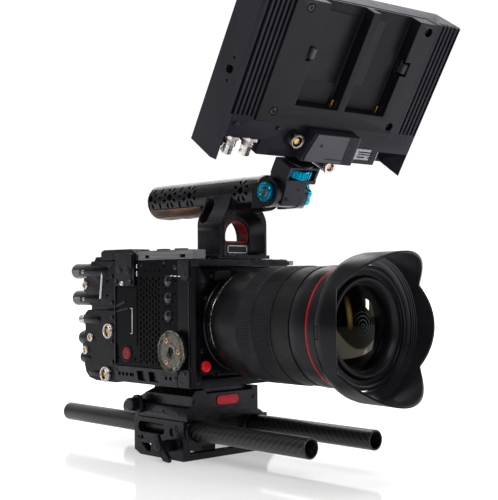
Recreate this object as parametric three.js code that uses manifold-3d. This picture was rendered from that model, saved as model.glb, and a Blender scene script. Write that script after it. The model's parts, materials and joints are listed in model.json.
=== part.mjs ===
// Cinema camera rig: a compact digital cinema camera with a wide zoom lens and petal hood,
// a rod baseplate with a quick-release clamp, a top handle, and a tilting field monitor.
//
// Units are millimetres. +Z is up, the lens looks towards -Y and +X is the operator's left.
// The origin is the centre of the baseplate's underside, on the surface the rig stands on.
import * as THREE from 'three';
import { mergeVertices } from 'three/addons/utils/BufferGeometryUtils.js';
import Module from 'manifold-3d';

// ---------------------------------------------------------------- driving dimensions
const GAP = 0.3; // clearance kept between neighbouring pieces

const SEGMENTS = { lens: 36, round: 24, small: 16 };

const BASE = { halfWidth: 44, front: -30, rear: 32, height: 30, skirtTop: 10, skirtWall: 7 };
const ROD = { radius: 7.5, bore: 6.2, spacing: 60, height: 22.3, length: 297, nearFront: -150.9, farFront: -157.6 };
const LEVER = { y: -15, z: 11, stemRadius: 2.5, hubRadius: 4.5, hubInner: 51, hubOuter: 58 };
const CLAMP = { front: -33, rear: 32, nearX: -43, farX: 31, ledge: 40.5, slotFloor: 48.2, top: 53.4 };
const PLATE = { nearX: -21.5, farX: 24.4, front: -27.4, rear: 34, flange: 54.2, top: 56.7 };

const BODY = { halfWidth: 50.6, front: -50, rear: 48, bottom: 57, top: 154, wall: 3.5, panel: 1.8 };
const FRAME = { face: -46, rear: -32.3, column: 7.5, lipBottom: 148.3 };
const AXIS_Z = 104.7; // lens axis height

const LENS = {
  radius: 43.6, sleeve: 39.5, bore: 27, mountFront: -50.8,
  zoomRear: -87, bandSplit: -106, focusFront: -124.5, controlFront: -142.3, rimFront: -177,
  glassRadius: 29.6, glassFront: -176.6,
};
const HOOD = { rear: -170.3, rearRadius: 46.2, frontRadius: 52.5, wall: 2, collar: 44.3, valley: -188, long: 24, short: 6.5 };

const HANDLE = { tubeRadius: 14, axisZ: 204, front: -80, rear: 58, legHalf: 25, legFront: -53, legRear: -23 };
const HINGE = { y: -94.7, z: 203, radius: 11, cheekInner: 11.4, cheekOuter: 16.3, bolt: 3 };
const ARM = {
  tiltDeg: 32.6, leanDeg: -3.25, half: 11, barrel: 10.5, swivelX: 4.2, farX: 19.5, wheelRadius: 12.3, depth: 9,
};

const MONITOR = {
  origin: [26.0, -76.9, 240.3], swivelDeg: -6.57, // the middle of the screen's lower edge, and the turn on the arm
  half: 91.2, height: 125.4, side: 29.9, back: 34, bottom: 7.5,
};

// ---------------------------------------------------------------- solids
const wasm = await Module();
wasm.setup();

/** Turns a closed three.js geometry into a solid, with its faces pointing out. */
function solidOf(geometry) {
  const bare = geometry.index ? geometry.toNonIndexed() : geometry.clone();
  bare.deleteAttribute('normal');
  bare.deleteAttribute('uv');
  const merged = mergeVertices(bare, 1e-4);
  const vertProperties = new Float32Array(merged.attributes.position.array);
  const triVerts = new Uint32Array(merged.index.array);
  const corner = (i) => new THREE.Vector3().fromArray(vertProperties, 3 * triVerts[i]);
  let volume = 0;
  for (let i = 0; i < triVerts.length; i += 3) {
    volume += corner(i).dot(corner(i + 1).cross(corner(i + 2)));
  }
  if (volume < 0) {
    for (let i = 0; i < triVerts.length; i += 3) {
      [triVerts[i + 1], triVerts[i + 2]] = [triVerts[i + 2], triVerts[i + 1]];
    }
  }
  return new wasm.Manifold(new wasm.Mesh({ numProp: 3, vertProperties, triVerts }));
}

const join = (first, ...others) => others.reduce((whole, piece) => whole.add(piece), first);
const cut = (first, ...others) => others.reduce((whole, piece) => whole.subtract(piece), first);

function box([x0, x1], [y0, y1], [z0, z1]) {
  const geometry = new THREE.BoxGeometry(x1 - x0, y1 - y0, z1 - z0);
  geometry.translate((x0 + x1) / 2, (y0 + y1) / 2, (z0 + z1) / 2);
  return solidOf(geometry);
}

/** Places a geometry made along +Z so that it runs along the named axis. */
const AXES = {
  x: new THREE.Matrix4().makeBasis(new THREE.Vector3(0, 1, 0), new THREE.Vector3(0, 0, 1), new THREE.Vector3(1, 0, 0)),
  y: new THREE.Matrix4().makeBasis(new THREE.Vector3(0, 0, 1), new THREE.Vector3(1, 0, 0), new THREE.Vector3(0, 1, 0)),
  z: new THREE.Matrix4(),
};

/** A shape drawn in a plane, pulled along an axis. The plane is (y, z), (x, z) or (x, y) for x, y and z. */
function prism(axis, shape, from, to, curveSegments = 8) {
  const geometry = new THREE.ExtrudeGeometry(shape, { depth: to - from, bevelEnabled: false, curveSegments });
  geometry.translate(0, 0, from);
  if (axis === 'y') {
    const mirrored = new THREE.Matrix4().set(1, 0, 0, 0, 0, 0, 1, 0, 0, 1, 0, 0, 0, 0, 0, 1);
    geometry.applyMatrix4(mirrored);
  } else {
    geometry.applyMatrix4(AXES[axis]);
  }
  return solidOf(geometry);
}

const polygon = (points) => new THREE.Shape(points.map(([u, v]) => new THREE.Vector2(u, v)));

/** A rectangle with rounded corners, from its low corner to its high corner. */
function roundedRect([u0, v0], [u1, v1], radius) {
  const shape = new THREE.Shape();
  shape.absarc(u1 - radius, v0 + radius, radius, -Math.PI / 2, 0);
  shape.absarc(u1 - radius, v1 - radius, radius, 0, Math.PI / 2);
  shape.absarc(u0 + radius, v1 - radius, radius, Math.PI / 2, Math.PI);
  shape.absarc(u0 + radius, v0 + radius, radius, Math.PI, 1.5 * Math.PI);
  shape.closePath();
  return shape;
}

/** An arch: a rectangle with a half-round top. */
function arch(halfWidth, bottom, top, cornerRadius) {
  const shape = new THREE.Shape();
  shape.absarc(halfWidth - cornerRadius, bottom + cornerRadius, cornerRadius, -Math.PI / 2, 0);
  shape.absarc(0, top - halfWidth, halfWidth, 0, Math.PI);
  shape.absarc(-halfWidth + cornerRadius, bottom + cornerRadius, cornerRadius, Math.PI, 1.5 * Math.PI);
  shape.closePath();
  return shape;
}

/** A rim of rounded lobes, for knurled and scalloped knobs. */
function lobedRim(radius, depth, lobes, pointsPerLobe = 4) {
  const points = [];
  const count = lobes * pointsPerLobe;
  for (let i = 0; i < count; i += 1) {
    const turn = (2 * Math.PI * i) / count;
    const r = radius - (depth / 2) * (1 - Math.cos(lobes * turn));
    points.push([r * Math.cos(turn), r * Math.sin(turn)]);
  }
  return polygon(points);
}

/** A round bar along an axis. The centre is (y, z), (x, z) or (x, y) for x, y and z. */
function rod(axis, [u, v], radius, from, to, segments = SEGMENTS.round) {
  const geometry = new THREE.CylinderGeometry(radius, radius, to - from, segments);
  geometry.rotateX(Math.PI / 2);
  geometry.translate(0, 0, (from + to) / 2);
  geometry.applyMatrix4(AXES[axis]);
  const offset = { x: [0, u, v], y: [u, 0, v], z: [u, v, 0] }[axis];
  geometry.translate(...offset);
  return solidOf(geometry);
}

/** A body of revolution about an axis along Y, from a profile of [radius, y] points. */
function turned(profile, [x, z] = [0, AXIS_Z], segments = SEGMENTS.lens) {
  const points = profile.map(([r, y]) => new THREE.Vector2(r, y));
  const geometry = new THREE.LatheGeometry(points, segments);
  geometry.translate(x, 0, z);
  return solidOf(geometry);
}

/** A ring about the lens axis with a square section. */
const ring = (inner, outer, from, to) => turned([
  [inner, from], [outer, from], [outer, to], [inner, to], [inner, from],
]);

/** The same solid, carried by a matrix. */
function posed(solid, matrix) {
  const mesh = solid.getMesh();
  const geometry = new THREE.BufferGeometry();
  geometry.setAttribute('position', new THREE.BufferAttribute(mesh.vertProperties, 3));
  geometry.setIndex(new THREE.BufferAttribute(mesh.triVerts, 1));
  geometry.applyMatrix4(matrix);
  return solidOf(geometry);
}

const mirrorX = (solid) => posed(solid, new THREE.Matrix4().makeScale(-1, 1, 1));
const moved = (solid, [x, y, z]) => posed(solid, new THREE.Matrix4().makeTranslation(x, y, z));

// ---------------------------------------------------------------- finishes and the scene graph
const FINISH = {
  blackAnodised: [0x17181b, 0.5, 0.55],
  blackPaint: [0x131417, 0.6, 0.2],
  satinGrey: [0x8b8b90, 0.35, 0.8],
  darkGrey: [0x2b2c31, 0.55, 0.45],
  blackPlastic: [0x101113, 0.65, 0.0],
  rubber: [0x141416, 0.85, 0.0],
  carbon: [0x1b1b1d, 0.35, 0.1],
  red: [0xa0141a, 0.35, 0.1],
  darkRed: [0x6a1216, 0.5, 0.3],
  cyan: [0x1aa6cf, 0.3, 0.8],
  nickel: [0x8d8478, 0.4, 0.9],
  silver: [0xd8d6d0, 0.25, 1.0],
  copper: [0xb5764a, 0.4, 0.9],
  walnut: [0x5a3018, 0.55, 0.0],
  glass: [0x1d2a2a, 0.05, 0.0],
  board: [0x0d3320, 0.6, 0.0],
};

const rig = new THREE.Group();

function add(name, solid, [color, roughness, metalness], parent = rig) {
  const mesh = solid.getMesh();
  const geometry = new THREE.BufferGeometry();
  geometry.setAttribute('position', new THREE.BufferAttribute(mesh.vertProperties, 3));
  geometry.setIndex(new THREE.BufferAttribute(mesh.triVerts, 1));
  geometry.computeVertexNormals();
  const piece = new THREE.Mesh(geometry, new THREE.MeshStandardMaterial({ color, roughness, metalness }));
  piece.name = name;
  parent.add(piece);
}

// ---------------------------------------------------------------- baseplate, rods and levers
function baseClamp() {
  const { halfWidth: half, front, rear, height, skirtTop, skirtWall } = BASE;
  const block = box([-half, half], [front, rear], [skirtTop, height]);
  const rearChamfer = polygon([[front, 0], [rear - 8, 0], [rear, 3.4], [rear, skirtTop], [front, skirtTop]]);
  const skirt = prism('x', rearChamfer, half - skirtWall, half);
  const footBar = box([-half, half], [front, front + 8], [0, 5]);
  const boss = box([-7, 7], [-8, 8], [0, skirtTop]);
  const bores = [-ROD.spacing / 2, ROD.spacing / 2].map(
    (x) => rod('y', [x, ROD.height], ROD.radius + GAP, front - 1, rear + 1),
  );
  const rodWindow = prism('x', roundedRect([-7, 18], [27, 26.5], 4), 34, half + 1);
  const corner = prism('x', polygon([[10.5, 3.4], [15.8, 3.4], [23, 9.3], [10.5, 9.9]]), half - skirtWall - 1, half + 1);
  const stemHole = rod('x', [LEVER.y, LEVER.z], LEVER.stemRadius + GAP, half - 8, half + 1, SEGMENTS.small);
  const screwRecess = rod('x', [LEVER.y - 1, 21], 3.2, half - 1.5, half + 1, SEGMENTS.small);
  const sideCuts = [rodWindow, corner, stemHole, screwRecess];
  const whole = join(block, skirt, mirrorX(skirt), footBar, boss);
  return cut(whole, ...bores, ...sideCuts, ...sideCuts.map(mirrorX));
}

function rodTube(x, front) {
  const back = front + ROD.length;
  return turned(
    [[ROD.bore, front], [ROD.radius, front], [ROD.radius, back], [ROD.bore, back], [ROD.bore, front]],
    [x, ROD.height],
    SEGMENTS.round,
  );
}

function rodLever() {
  const { y, z, stemRadius, hubRadius, hubInner, hubOuter } = LEVER;
  const stem = rod('x', [y, z], stemRadius, BASE.halfWidth - 7, hubOuter - 1, SEGMENTS.small);
  const hub = rod('x', [y, z], hubRadius, hubInner, hubOuter, SEGMENTS.small);
  const wing = prism('x', polygon([
    [y - 2, z + 4.2], [y + 1, z + 9.4], [y + 5.6, z + 8.4], [y + 4.2, z],
    [y - 6.5, z - 9.6], [y - 12.8, z - 10.2], [y - 13, z - 7.2], [y - 4.4, z + 1],
  ]), hubOuter - 4, hubOuter - 0.8);
  return join(stem, hub, wing);
}

// ---------------------------------------------------------------- quick-release clamp and camera plate
function clampBody() {
  const { front, rear, nearX, farX, ledge, slotFloor, top } = CLAMP;
  const bottom = BASE.height + GAP;
  const section = polygon([
    [nearX, bottom], [farX, bottom], [farX, top], [25, top], [25, slotFloor],
    [-22, slotFloor], [-24, top], [-34, top], [-38, top - 4.4], [-38, ledge + 0.5], [nearX, ledge],
  ]);
  const body = prism('y', section, front, rear);
  const frontStop = box([-22.5, 25.5], [front, front + 5], [slotFloor - 1, slotFloor + 2.3]);
  const rearSlope = prism('x', polygon([[15, top + 1], [30, 46], [40, 46], [40, top + 1]]), nearX - 1, farX + 1);
  const whole = cut(join(body, frontStop), rearSlope);
  return cut(whole, rod('x', [27, 39.6], 3.5, nearX - 1, nearX + 8, SEGMENTS.small));
}

function clampKnob() {
  const centre = [27, 39.6];
  const { nearX } = CLAMP;
  const stem = rod('x', centre, 3, nearX + 3, nearX, SEGMENTS.small);
  const flange = rod('x', centre, 7.4, nearX - 3.2, nearX - GAP, SEGMENTS.round);
  const grip = rod('x', centre, 5.2, nearX - 10.5, nearX - 2, SEGMENTS.round);
  const shaft = rod('x', centre, 3, nearX - 2, nearX + 6, SEGMENTS.small);
  return join(flange, grip, shaft, stem);
}

function cameraPlate() {
  const { nearX, farX, front, rear, flange, top } = PLATE;
  const tongue = prism('y', polygon([
    [nearX, CLAMP.slotFloor + GAP], [farX, CLAMP.slotFloor + GAP], [farX, flange], [nearX - 1.6, flange],
  ]), front, rear);
  const pad = box([-32, 32], [front - 2, rear + 4], [flange - 0.1, top]);
  return join(tongue, pad);
}

// ---------------------------------------------------------------- camera body
function bodyShell() {
  const { halfWidth, rear, bottom, top, wall, panel } = BODY;
  const nearX = -halfWidth + panel + GAP;
  const outer = box([nearX, halfWidth], [FRAME.rear + GAP, rear], [bottom, top]);
  const cavity = box([nearX + wall, halfWidth - wall], [FRAME.rear - 1, rear - wall], [bottom + wall, top - wall]);
  const vents = [78, 88, 98, 108, 118, 128].map(
    (z) => prism('x', roundedRect([-12, z - 2], [30, z + 2], 1.9), halfWidth - wall - 1, halfWidth + 1, 4),
  );
  return cut(outer, cavity, ...vents);
}

function frontPlate() {
  const { halfWidth, front, bottom, top } = BODY;
  const { face, rear, column, lipBottom } = FRAME;
  const slab = box([-halfWidth, halfWidth], [face, rear], [bottom, lipBottom - GAP]);
  const crown = box([-halfWidth, halfWidth], [-43.7, rear], [lipBottom - 1, top]);
  const columnAt = (side) => prism('z', polygon([
    [side * halfWidth, face + 0.1], [side * halfWidth, front + 2.5], [side * (halfWidth - 2.5), front],
    [side * (halfWidth - column), front], [side * (halfWidth - column - 3), face + 0.1],
  ]), bottom, lipBottom - GAP);
  const sill = box([-halfWidth + 2.5, halfWidth - 2.5], [front, face + 0.1], [bottom, bottom + 6.5]);
  const hollow = box([-40, 40], [face + 5, rear + 1], [bottom + 6, 146]);
  const throat = rod('y', [0, AXIS_Z], 30, face - 1, rear + 1, SEGMENTS.lens);
  const mountSeat = rod('y', [0, AXIS_Z], 34, face - 1, face + 2, SEGMENTS.lens);
  const buttonBoss = rod('y', [-37.5, 73], 6.4, face - 2.5, face + 6, SEGMENTS.small);
  const buttonWell = rod('y', [-37.5, 73], 4.8, face - 3, face + 3.2, SEGMENTS.small);
  const frame = cut(join(slab, crown, columnAt(1), columnAt(-1), sill), hollow, throat, mountSeat);
  return cut(join(frame, buttonBoss), buttonWell);
}

function frontLip() {
  const { halfWidth, top } = BODY;
  const outline = polygon([
    [-halfWidth, -44], [-halfWidth, -48], [-halfWidth + 4, -52.3], [halfWidth - 4, -52.3],
    [halfWidth, -48], [halfWidth, -44],
  ]);
  return prism('z', outline, FRAME.lipBottom, top + 0.3);
}

function sidePanel() {
  const { halfWidth, rear, panel } = BODY;
  const plate = box([-halfWidth, -halfWidth + panel], [FRAME.rear + GAP, rear], [70, BODY.top]);
  const buttonHole = rod('x', [33, 80], 5.6, -halfWidth - 1, -halfWidth + panel + 1, SEGMENTS.small);
  return cut(plate, buttonHole);
}

function sideRail() {
  const { halfWidth, rear, bottom, panel } = BODY;
  const slab = box([-halfWidth - 0.8, -halfWidth + panel], [FRAME.rear + GAP, rear], [bottom, 69.7]);
  const pockets = [[-9, 4], [7, 19]].map(([a, b]) => prism('x', polygon([
    [a, 59.5], [b - 2, 59.5], [b, 67], [a + 2, 67],
  ]), -halfWidth - 2, -halfWidth + panel + 1));
  const holes = [27, 32, 37, 42].map((y) => rod('x', [y, 63.5], 1.6, -halfWidth - 2, -halfWidth + panel + 1, 12));
  return cut(slab, ...pockets, ...holes);
}

function topRail() {
  const bar = box([-50.6, -38], [-50, 17.5], [BODY.top + GAP, 161.4]);
  const slots = [[3.5, 8.5], [-41, -35]].map(([a, b]) => box([-52, -37], [a, b], [155.6, 158]));
  return cut(bar, ...slots);
}

function topBlock() {
  const side = polygon([[18, BODY.top + GAP], [68, BODY.top + GAP + 1.5], [68, 161.6], [64, 163.4], [26, 163.4], [18, 158.5]]);
  const block = prism('x', side, -51, -33.6);
  const cheek = box([-52.4, -50.9], [21, 46], [134, 160]);
  return join(block, cheek);
}

function screenFrame() {
  const frame = box([-29, 46], [-12, 46], [BODY.top + GAP, 159.4]);
  return cut(frame, box([-23, 40], [-6, 40], [157.8, 161]));
}

function sensor() {
  const board = box([-24, 24], [-30.5, -28.5], [AXIS_Z - 20, AXIS_Z + 20]);
  const chip = box([-15, 15], [-32, -30.4], [AXIS_Z - 8.5, AXIS_Z + 8.5]);
  return join(board, chip);
}

function heatSink() {
  const plate = box([-34, 34], [38, 43], [66, 143]);
  const fins = [];
  for (let x = -31; x <= 31; x += 7.75) {
    fins.push(box([x - 1.6, x + 1.6], [24, 38.1], [66, 143]));
  }
  return join(plate, ...fins);
}

function coolingFan() {
  const centre = [0, AXIS_Z];
  const hub = rod('y', centre, 9, 8, 18, SEGMENTS.small);
  const blades = [];
  const count = 7;
  for (let i = 0; i < count; i += 1) {
    const blade = new THREE.BoxGeometry(2, 7, 20);
    blade.rotateZ(0.5);
    blade.translate(0, 13, 16);
    blade.rotateY((2 * Math.PI * i) / count);
    blade.translate(0, 0, AXIS_Z);
    blades.push(solidOf(blade));
  }
  return join(hub, ...blades);
}

function batteryPack() {
  const pack = prism('z', roundedRect([-33, 53], [33, 112], 5), 60, 149, 4);
  const wedge = prism('z', polygon([[-12, 52], [12, 52], [15, 53.5], [-15, 53.5]]), 84, 138);
  return join(pack, wedge);
}

function batteryPlate() {
  const plate = box([-34.5, 50.6], [48.3, 52.7], [BODY.bottom + 1, BODY.top - 1]);
  const slot = prism('z', polygon([[-15.5, 54], [15.5, 54], [12.4, 51.5], [-12.4, 51.5]]), 83, 155);
  return cut(plate, slot);
}

// ---------------------------------------------------------------- side ports and buttons
function portModule(outline, lobes) {
  const near = -50.6;
  const block = prism('x', outline, near, -36);
  const bodies = lobes.map(({ z, radius, from, to }) => turned(
    [[0, from], [radius, from], [radius, to - 2], [radius - 2, to], [0, to]],
    [near + radius, z],
    SEGMENTS.small,
  ));
  return join(block, ...bodies);
}

const upperModule = () => portModule(
  polygon([[48.3, 116], [78, 116], [86, 119], [86, 127], [94, 129.5], [94, 140], [86, 142], [86, 150], [82, 154.4], [48.3, 154.2]]),
  [{ z: 146.3, radius: 6.3, from: 80, to: 112 }, { z: 123.4, radius: 6.3, from: 80, to: 112 }],
);

const lowerModule = () => portModule(
  polygon([
    [48.3, 55.5], [76, 55.5], [86, 57.5], [91, 62], [93, 68], [93, 78], [96, 80.5], [96, 84.5], [92, 97],
    [92, 111], [88, 114], [48.3, 114],
  ]),
  [{ z: 90, radius: 6.4, from: 80, to: 103 }, { z: 74, radius: 4.6, from: 80, to: 101 }],
);

function portCollar(y, z) {
  const outer = rod('x', [y, z], 6.3, -53.2, -50.9, SEGMENTS.small);
  const socket = rod('x', [y, z], 4.6, -54, -51.5, SEGMENTS.small);
  const insert = rod('x', [y, z], 2.6, -52.6, -51, SEGMENTS.small);
  return join(cut(outer, socket), insert);
}

function rosette() {
  const [y, z] = [-30.5, 84.4];
  const teeth = prism('x', lobedRim(15.9, 0.9, 44, 3), -57.6, -54.6);
  const placed = moved(teeth, [0, y, z]);
  return cut(placed, rod('x', [y, z], 3.2, -59, -54, SEGMENTS.small));
}

function rosetteBlock() {
  const [y, z] = [-30.5, 84.4];
  const puck = rod('x', [y, z], 14, -54.3, -50.9, SEGMENTS.round);
  const foot = box([-54.3, -50.9], [y, y + 12], [z - 13, z + 13]);
  return cut(join(puck, foot), rod('x', [y, z], 3.2, -55, -50, SEGMENTS.small));
}

// ---------------------------------------------------------------- lens
function lensBarrel() {
  const { bore, sleeve, mountFront, zoomRear, focusFront } = LENS;
  return turned([
    [bore, mountFront], [33.2, mountFront], [34.5, -55], [39.6, -57.5], [41.8, -66], [42.3, zoomRear + 1],
    [42.3, zoomRear + GAP], [sleeve, zoomRear + GAP], [sleeve, focusFront - GAP], [bore, focusFront - GAP],
    [bore, mountFront],
  ]);
}

function lensFrontBarrel() {
  const { bore, sleeve, focusFront, controlFront, rimFront, glassRadius } = LENS;
  return turned([
    [bore, focusFront - 2 * GAP], [sleeve, focusFront - 2 * GAP], [sleeve, controlFront - GAP],
    [42.8, controlFront - GAP], [43.6, -146], [43.4, -158], [43.9, -162], [43.9, -172],
    [42.6, rimFront], [40.2, rimFront], [39.8, -174.4], [36, -174.4], [35.4, -176.2], [33.4, -176.6],
    [glassRadius + 1.2, -175.4], [glassRadius + GAP, -172.5], [glassRadius + GAP, -168.6], [bore, -168.6],
    [bore, focusFront - 2 * GAP],
  ]);
}

function lensElement(radius, centre, rise, thickness) {
  const profile = [[0, centre]];
  const steps = 5;
  for (let i = 1; i <= steps; i += 1) {
    const r = (radius * i) / steps;
    profile.push([r, centre + rise * (r / radius) ** 2]);
  }
  profile.push([radius, centre + rise + thickness], [0, centre + rise + thickness]);
  return turned(profile);
}

/** How far forward the hood reaches at an angle from the top: four petals, long ones top and bottom. */
function hoodFront(angle) {
  const fromVertical = Math.min(Math.abs(angle), Math.abs(Math.PI - Math.abs(angle))) * (180 / Math.PI);
  const valleyAt = 57;
  if (fromVertical < valleyAt) {
    return HOOD.valley - HOOD.long * (1 - (fromVertical / valleyAt) ** 2) ** 1.2;
  }
  const fromSide = (90 - fromVertical) / (90 - valleyAt);
  return HOOD.valley - HOOD.short * (1 - fromSide ** 2);
}

/** The hood is turned as a plain cone, and then its front rim is drawn forward into petals. */
function lensHood() {
  const { rear, rearRadius, frontRadius, wall, collar, valley } = HOOD;
  const points = [
    [collar, rear], [rearRadius, rear], [rearRadius + 4, rear - 3.2], [frontRadius - 0.6, rear - 9],
    [frontRadius, valley], [frontRadius - wall, valley], [frontRadius - wall - 0.6, rear - 10],
    [rearRadius + 1.8, rear - 5.2], [collar + wall, rear - 4], [collar, rear - 4], [collar, rear],
  ].map(([r, y]) => new THREE.Vector2(r, y));
  const geometry = new THREE.LatheGeometry(points, 72);
  const position = geometry.attributes.position;
  for (let i = 0; i < position.count; i += 1) {
    if (Math.abs(position.getY(i) - valley) < 0.01) {
      const angle = Math.atan2(position.getX(i), position.getZ(i));
      position.setY(i, hoodFront(angle));
    }
  }
  geometry.translate(0, 0, AXIS_Z);
  const window = box([-60, -46.8], [-178, -172.2], [AXIS_Z - 6.3, AXIS_Z + 3.1]);
  return cut(solidOf(geometry), window);
}

// ---------------------------------------------------------------- top handle
function topHandle() {
  const { tubeRadius, axisZ, front, rear, legHalf, legFront, legRear } = HANDLE;
  const foot = box([-27, 27], [legFront + 1, legRear + 8], [BODY.top + 0.6, 157.5]);
  const leg = new THREE.Shape();
  leg.moveTo(-legHalf, 156);
  leg.lineTo(legHalf, 156);
  leg.lineTo(legHalf, 176);
  leg.quadraticCurveTo(legHalf - 0.5, 184, 18, 193);
  leg.lineTo(14, 203);
  leg.lineTo(-14, 203);
  leg.lineTo(-18, 193);
  leg.quadraticCurveTo(-legHalf + 0.5, 184, -legHalf, 176);
  const plan = prism('z', roundedRect([-legHalf, legFront], [legHalf, legRear], 3.5), 150, 210, 4);
  const legBody = prism('y', leg, legFront - 1, legRear + 1, 6).intersect(plan);
  const frontRecess = join(
    prism('y', arch(21.5, 157.6, 194, 3), legFront - 2, legFront - 1),
    prism('y', arch(14.6, 158.2, 187.5, 3), -43.6, -43.5),
  ).hull();
  const rearRecess = prism('y', arch(18, 159, 189, 4), -34, legRear + 1);
  const eye = prism('y', arch(13, 166.8, 185.2, 3), -50, -30);
  const tube = turned(
    [[0, front], [tubeRadius - 0.6, front], [tubeRadius, front + 1.5], [tubeRadius, rear - 5], [tubeRadius - 4.5, rear], [0, rear]],
    [0, axisZ],
    SEGMENTS.round,
  );
  const gripSeat = box([-20, 20], [-15, 50], [180, 197]);
  const shell = cut(join(cut(join(foot, legBody), frontRecess, rearRecess, eye), tube), gripSeat);
  return cut(join(shell, forkCheek(), mirrorX(forkCheek())), forkThroat(), hingeBore());
}

function forkCheek() {
  const { y, z, radius, cheekInner, cheekOuter } = HINGE;
  const shape = new THREE.Shape();
  shape.moveTo(-78, z - 11);
  shape.lineTo(-78, z + 7.5);
  shape.absarc(y, z, radius, 0.26 * Math.PI, 1.5 * Math.PI);
  shape.closePath();
  return prism('x', shape, cheekInner - 1, cheekOuter, 10);
}

/** The gap between the cheeks, open towards the front, that the knuckle turns in. */
const forkThroat = () => box([-HINGE.cheekInner, HINGE.cheekInner], [-120, HANDLE.front], [180, 230]);

const hingeBore = () => rod('x', [HINGE.y, HINGE.z], HINGE.bolt + GAP, -30, 30, SEGMENTS.small);

function walnutGrip() {
  const { axisZ } = HANDLE;
  const shape = new THREE.Shape();
  const [rear, front] = [49.7, -14.7];
  const waves = 3;
  const steps = 24;
  shape.moveTo(front, 196.7);
  for (let i = 0; i <= steps; i += 1) {
    const t = i / steps;
    const dip = 1.5 * Math.abs(Math.sin(waves * Math.PI * t));
    shape.lineTo(front + (rear - front) * t, 190.2 - dip);
  }
  shape.lineTo(rear, 196.7);
  const wavy = prism('x', shape, -14, 14);
  return wavy.intersect(rod('y', [0, axisZ], 15.4, front, rear, SEGMENTS.round));
}

function eyeLiner() {
  const outer = prism('y', arch(12.7, 167.1, 184.9, 2.8), -42.6, -33.4);
  return cut(outer, prism('y', arch(11.4, 168.6, 183.6, 1.6), -44, -32));
}

// ---------------------------------------------------------------- monitor arm, in the frame of its tilt hinge
function armBody() {
  const { half, barrel, swivelX, farX, depth } = ARM;
  const upright = new THREE.Matrix4().makeRotationY(-THREE.MathUtils.degToRad(ARM.leanDeg));
  const knuckle = posed(rod('x', [0, 0], barrel, -half, half), upright);
  const block = prism('x', polygon([[-12.6, -4], [-9.6, 15.5], [depth, 15.5], [depth, 2], [0, -4]]), -half + 0.9, half - 0.4);
  const floor = box([-half, farX], [-depth - 0.6, depth], [12.5, 15.5]);
  const nearWall = box([-half, -half + 2], [-depth, depth], [15, 25.6]);
  const farWall = box([farX - 2.4, farX], [-depth, depth], [15, 25.6]);
  const cap = box([-half, farX], [-depth, depth], [23.8, 25.6]);
  const bolt = posed(rod('x', [0, 0], HINGE.bolt + GAP, -30, 30, SEGMENTS.small), upright);
  const screwWay = rod('z', [swivelX, 0], 3.9, 20, 30, SEGMENTS.small);
  return cut(join(knuckle, block, floor, nearWall, farWall, cap), bolt, screwWay);
}

function swivelWheel() {
  const { swivelX, wheelRadius } = ARM;
  const rim = moved(prism('z', lobedRim(wheelRadius, 1.1, 26, 4), 16.2, 23.2), [swivelX, 0, 0]);
  return cut(rim, rod('z', [swivelX, 0], 3.6, 15, 24, SEGMENTS.small));
}

function swivelFoot() {
  const { swivelX } = ARM;
  const disc = rod('z', [swivelX, 0], 11.5, 25.9, 27.5, SEGMENTS.round);
  const screw = rod('z', [swivelX, 0], 3.2, 17, 26, SEGMENTS.small);
  return join(disc, screw);
}

function tiltBolt() {
  const head = moved(prism('x', lobedRim(7.5, 0.3, 12, 3), -19.8, -16.6), [0, HINGE.y, HINGE.z]);
  const socket = rod('x', [HINGE.y, HINGE.z], 2.6, -21, -18.2, 12);
  return join(cut(head, socket), rod('x', [HINGE.y, HINGE.z], HINGE.bolt, -17, 16, SEGMENTS.small));
}

const tiltNut = () => moved(prism('x', lobedRim(11, 1.6, 8, 6), 16.6, 20.4), [0, HINGE.y, HINGE.z]);

// ---------------------------------------------------------------- monitor, x across, z up its face, -y out of its back
function monitorChassis() {
  const { half, height, side, back, bottom } = MONITOR;
  const shell = box([-half, half], [-side, 0], [0, height]);
  const raised = prism('z', polygon([
    [-half, -side + 0.1], [-half + 3.5, -back], [half - 3.5, -back], [half, -side + 0.1],
  ]), 0, height);
  const chin = prism('y', polygon([[-24, 14], [-19, 33.1], [24, 33.1], [24, 10], [-24, 10]]), -45, -back + 0.1);
  const screen = box([-half + 6, half - 6], [-6, 1], [14, height - 8]);
  const bay = box([-68.6, 62.6], [-back - 1, -21.9], [33.4, height + 1]);
  const underside = box([-57, 57], [-back - 1, 1], [-1, bottom]);
  const cornerPocket = box([56.5, 88], [-back - 1, -8], [-1, 19]);
  const cuts = [screen, bay, underside, cornerPocket, mirrorX(cornerPocket)];
  for (let i = 0; i < 5; i += 1) {
    for (const inner of [-88.5, 69.5]) {
      const x = inner + 3.9 * i;
      cuts.push(box([x, x + 2], [-back - 1, -back + 6], [36, height + 1]));
    }
  }
  cuts.push(rod('x', [-17, 62], 3.1, -half - 1, -half + 8, 12));
  const electronics = box([-86, 86], [-18, -5.9], [23, height - 4]);
  const lowerBay = box([-54, 54], [-31, -9], [bottom + 3, 31]);
  return cut(join(shell, raised, chin), ...cuts, electronics, lowerBay);
}

function batteryBays() {
  const plate = box([-68.3, 62.3], [-36, -22.2], [33.7, 125]);
  const bays = [[-39.5, 0], [6.4, 45.4]].map(([a, b]) => box([a, b], [-37, -25], [49, 126]));
  const latchSlots = [[-45, -39], [45, 51]].map(([a, b]) => box([a, b], [-37, -28.5], [82.5, 93.5]));
  return cut(plate, ...bays, ...latchSlots);
}

function batteryLatch(x) {
  const tab = polygon([[x - 1.9, -36.6], [x + 1.9, -36.6], [x + 1.9, -30], [x - 1.9, -29]]);
  return prism('z', tab, 84, 92);
}

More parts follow.
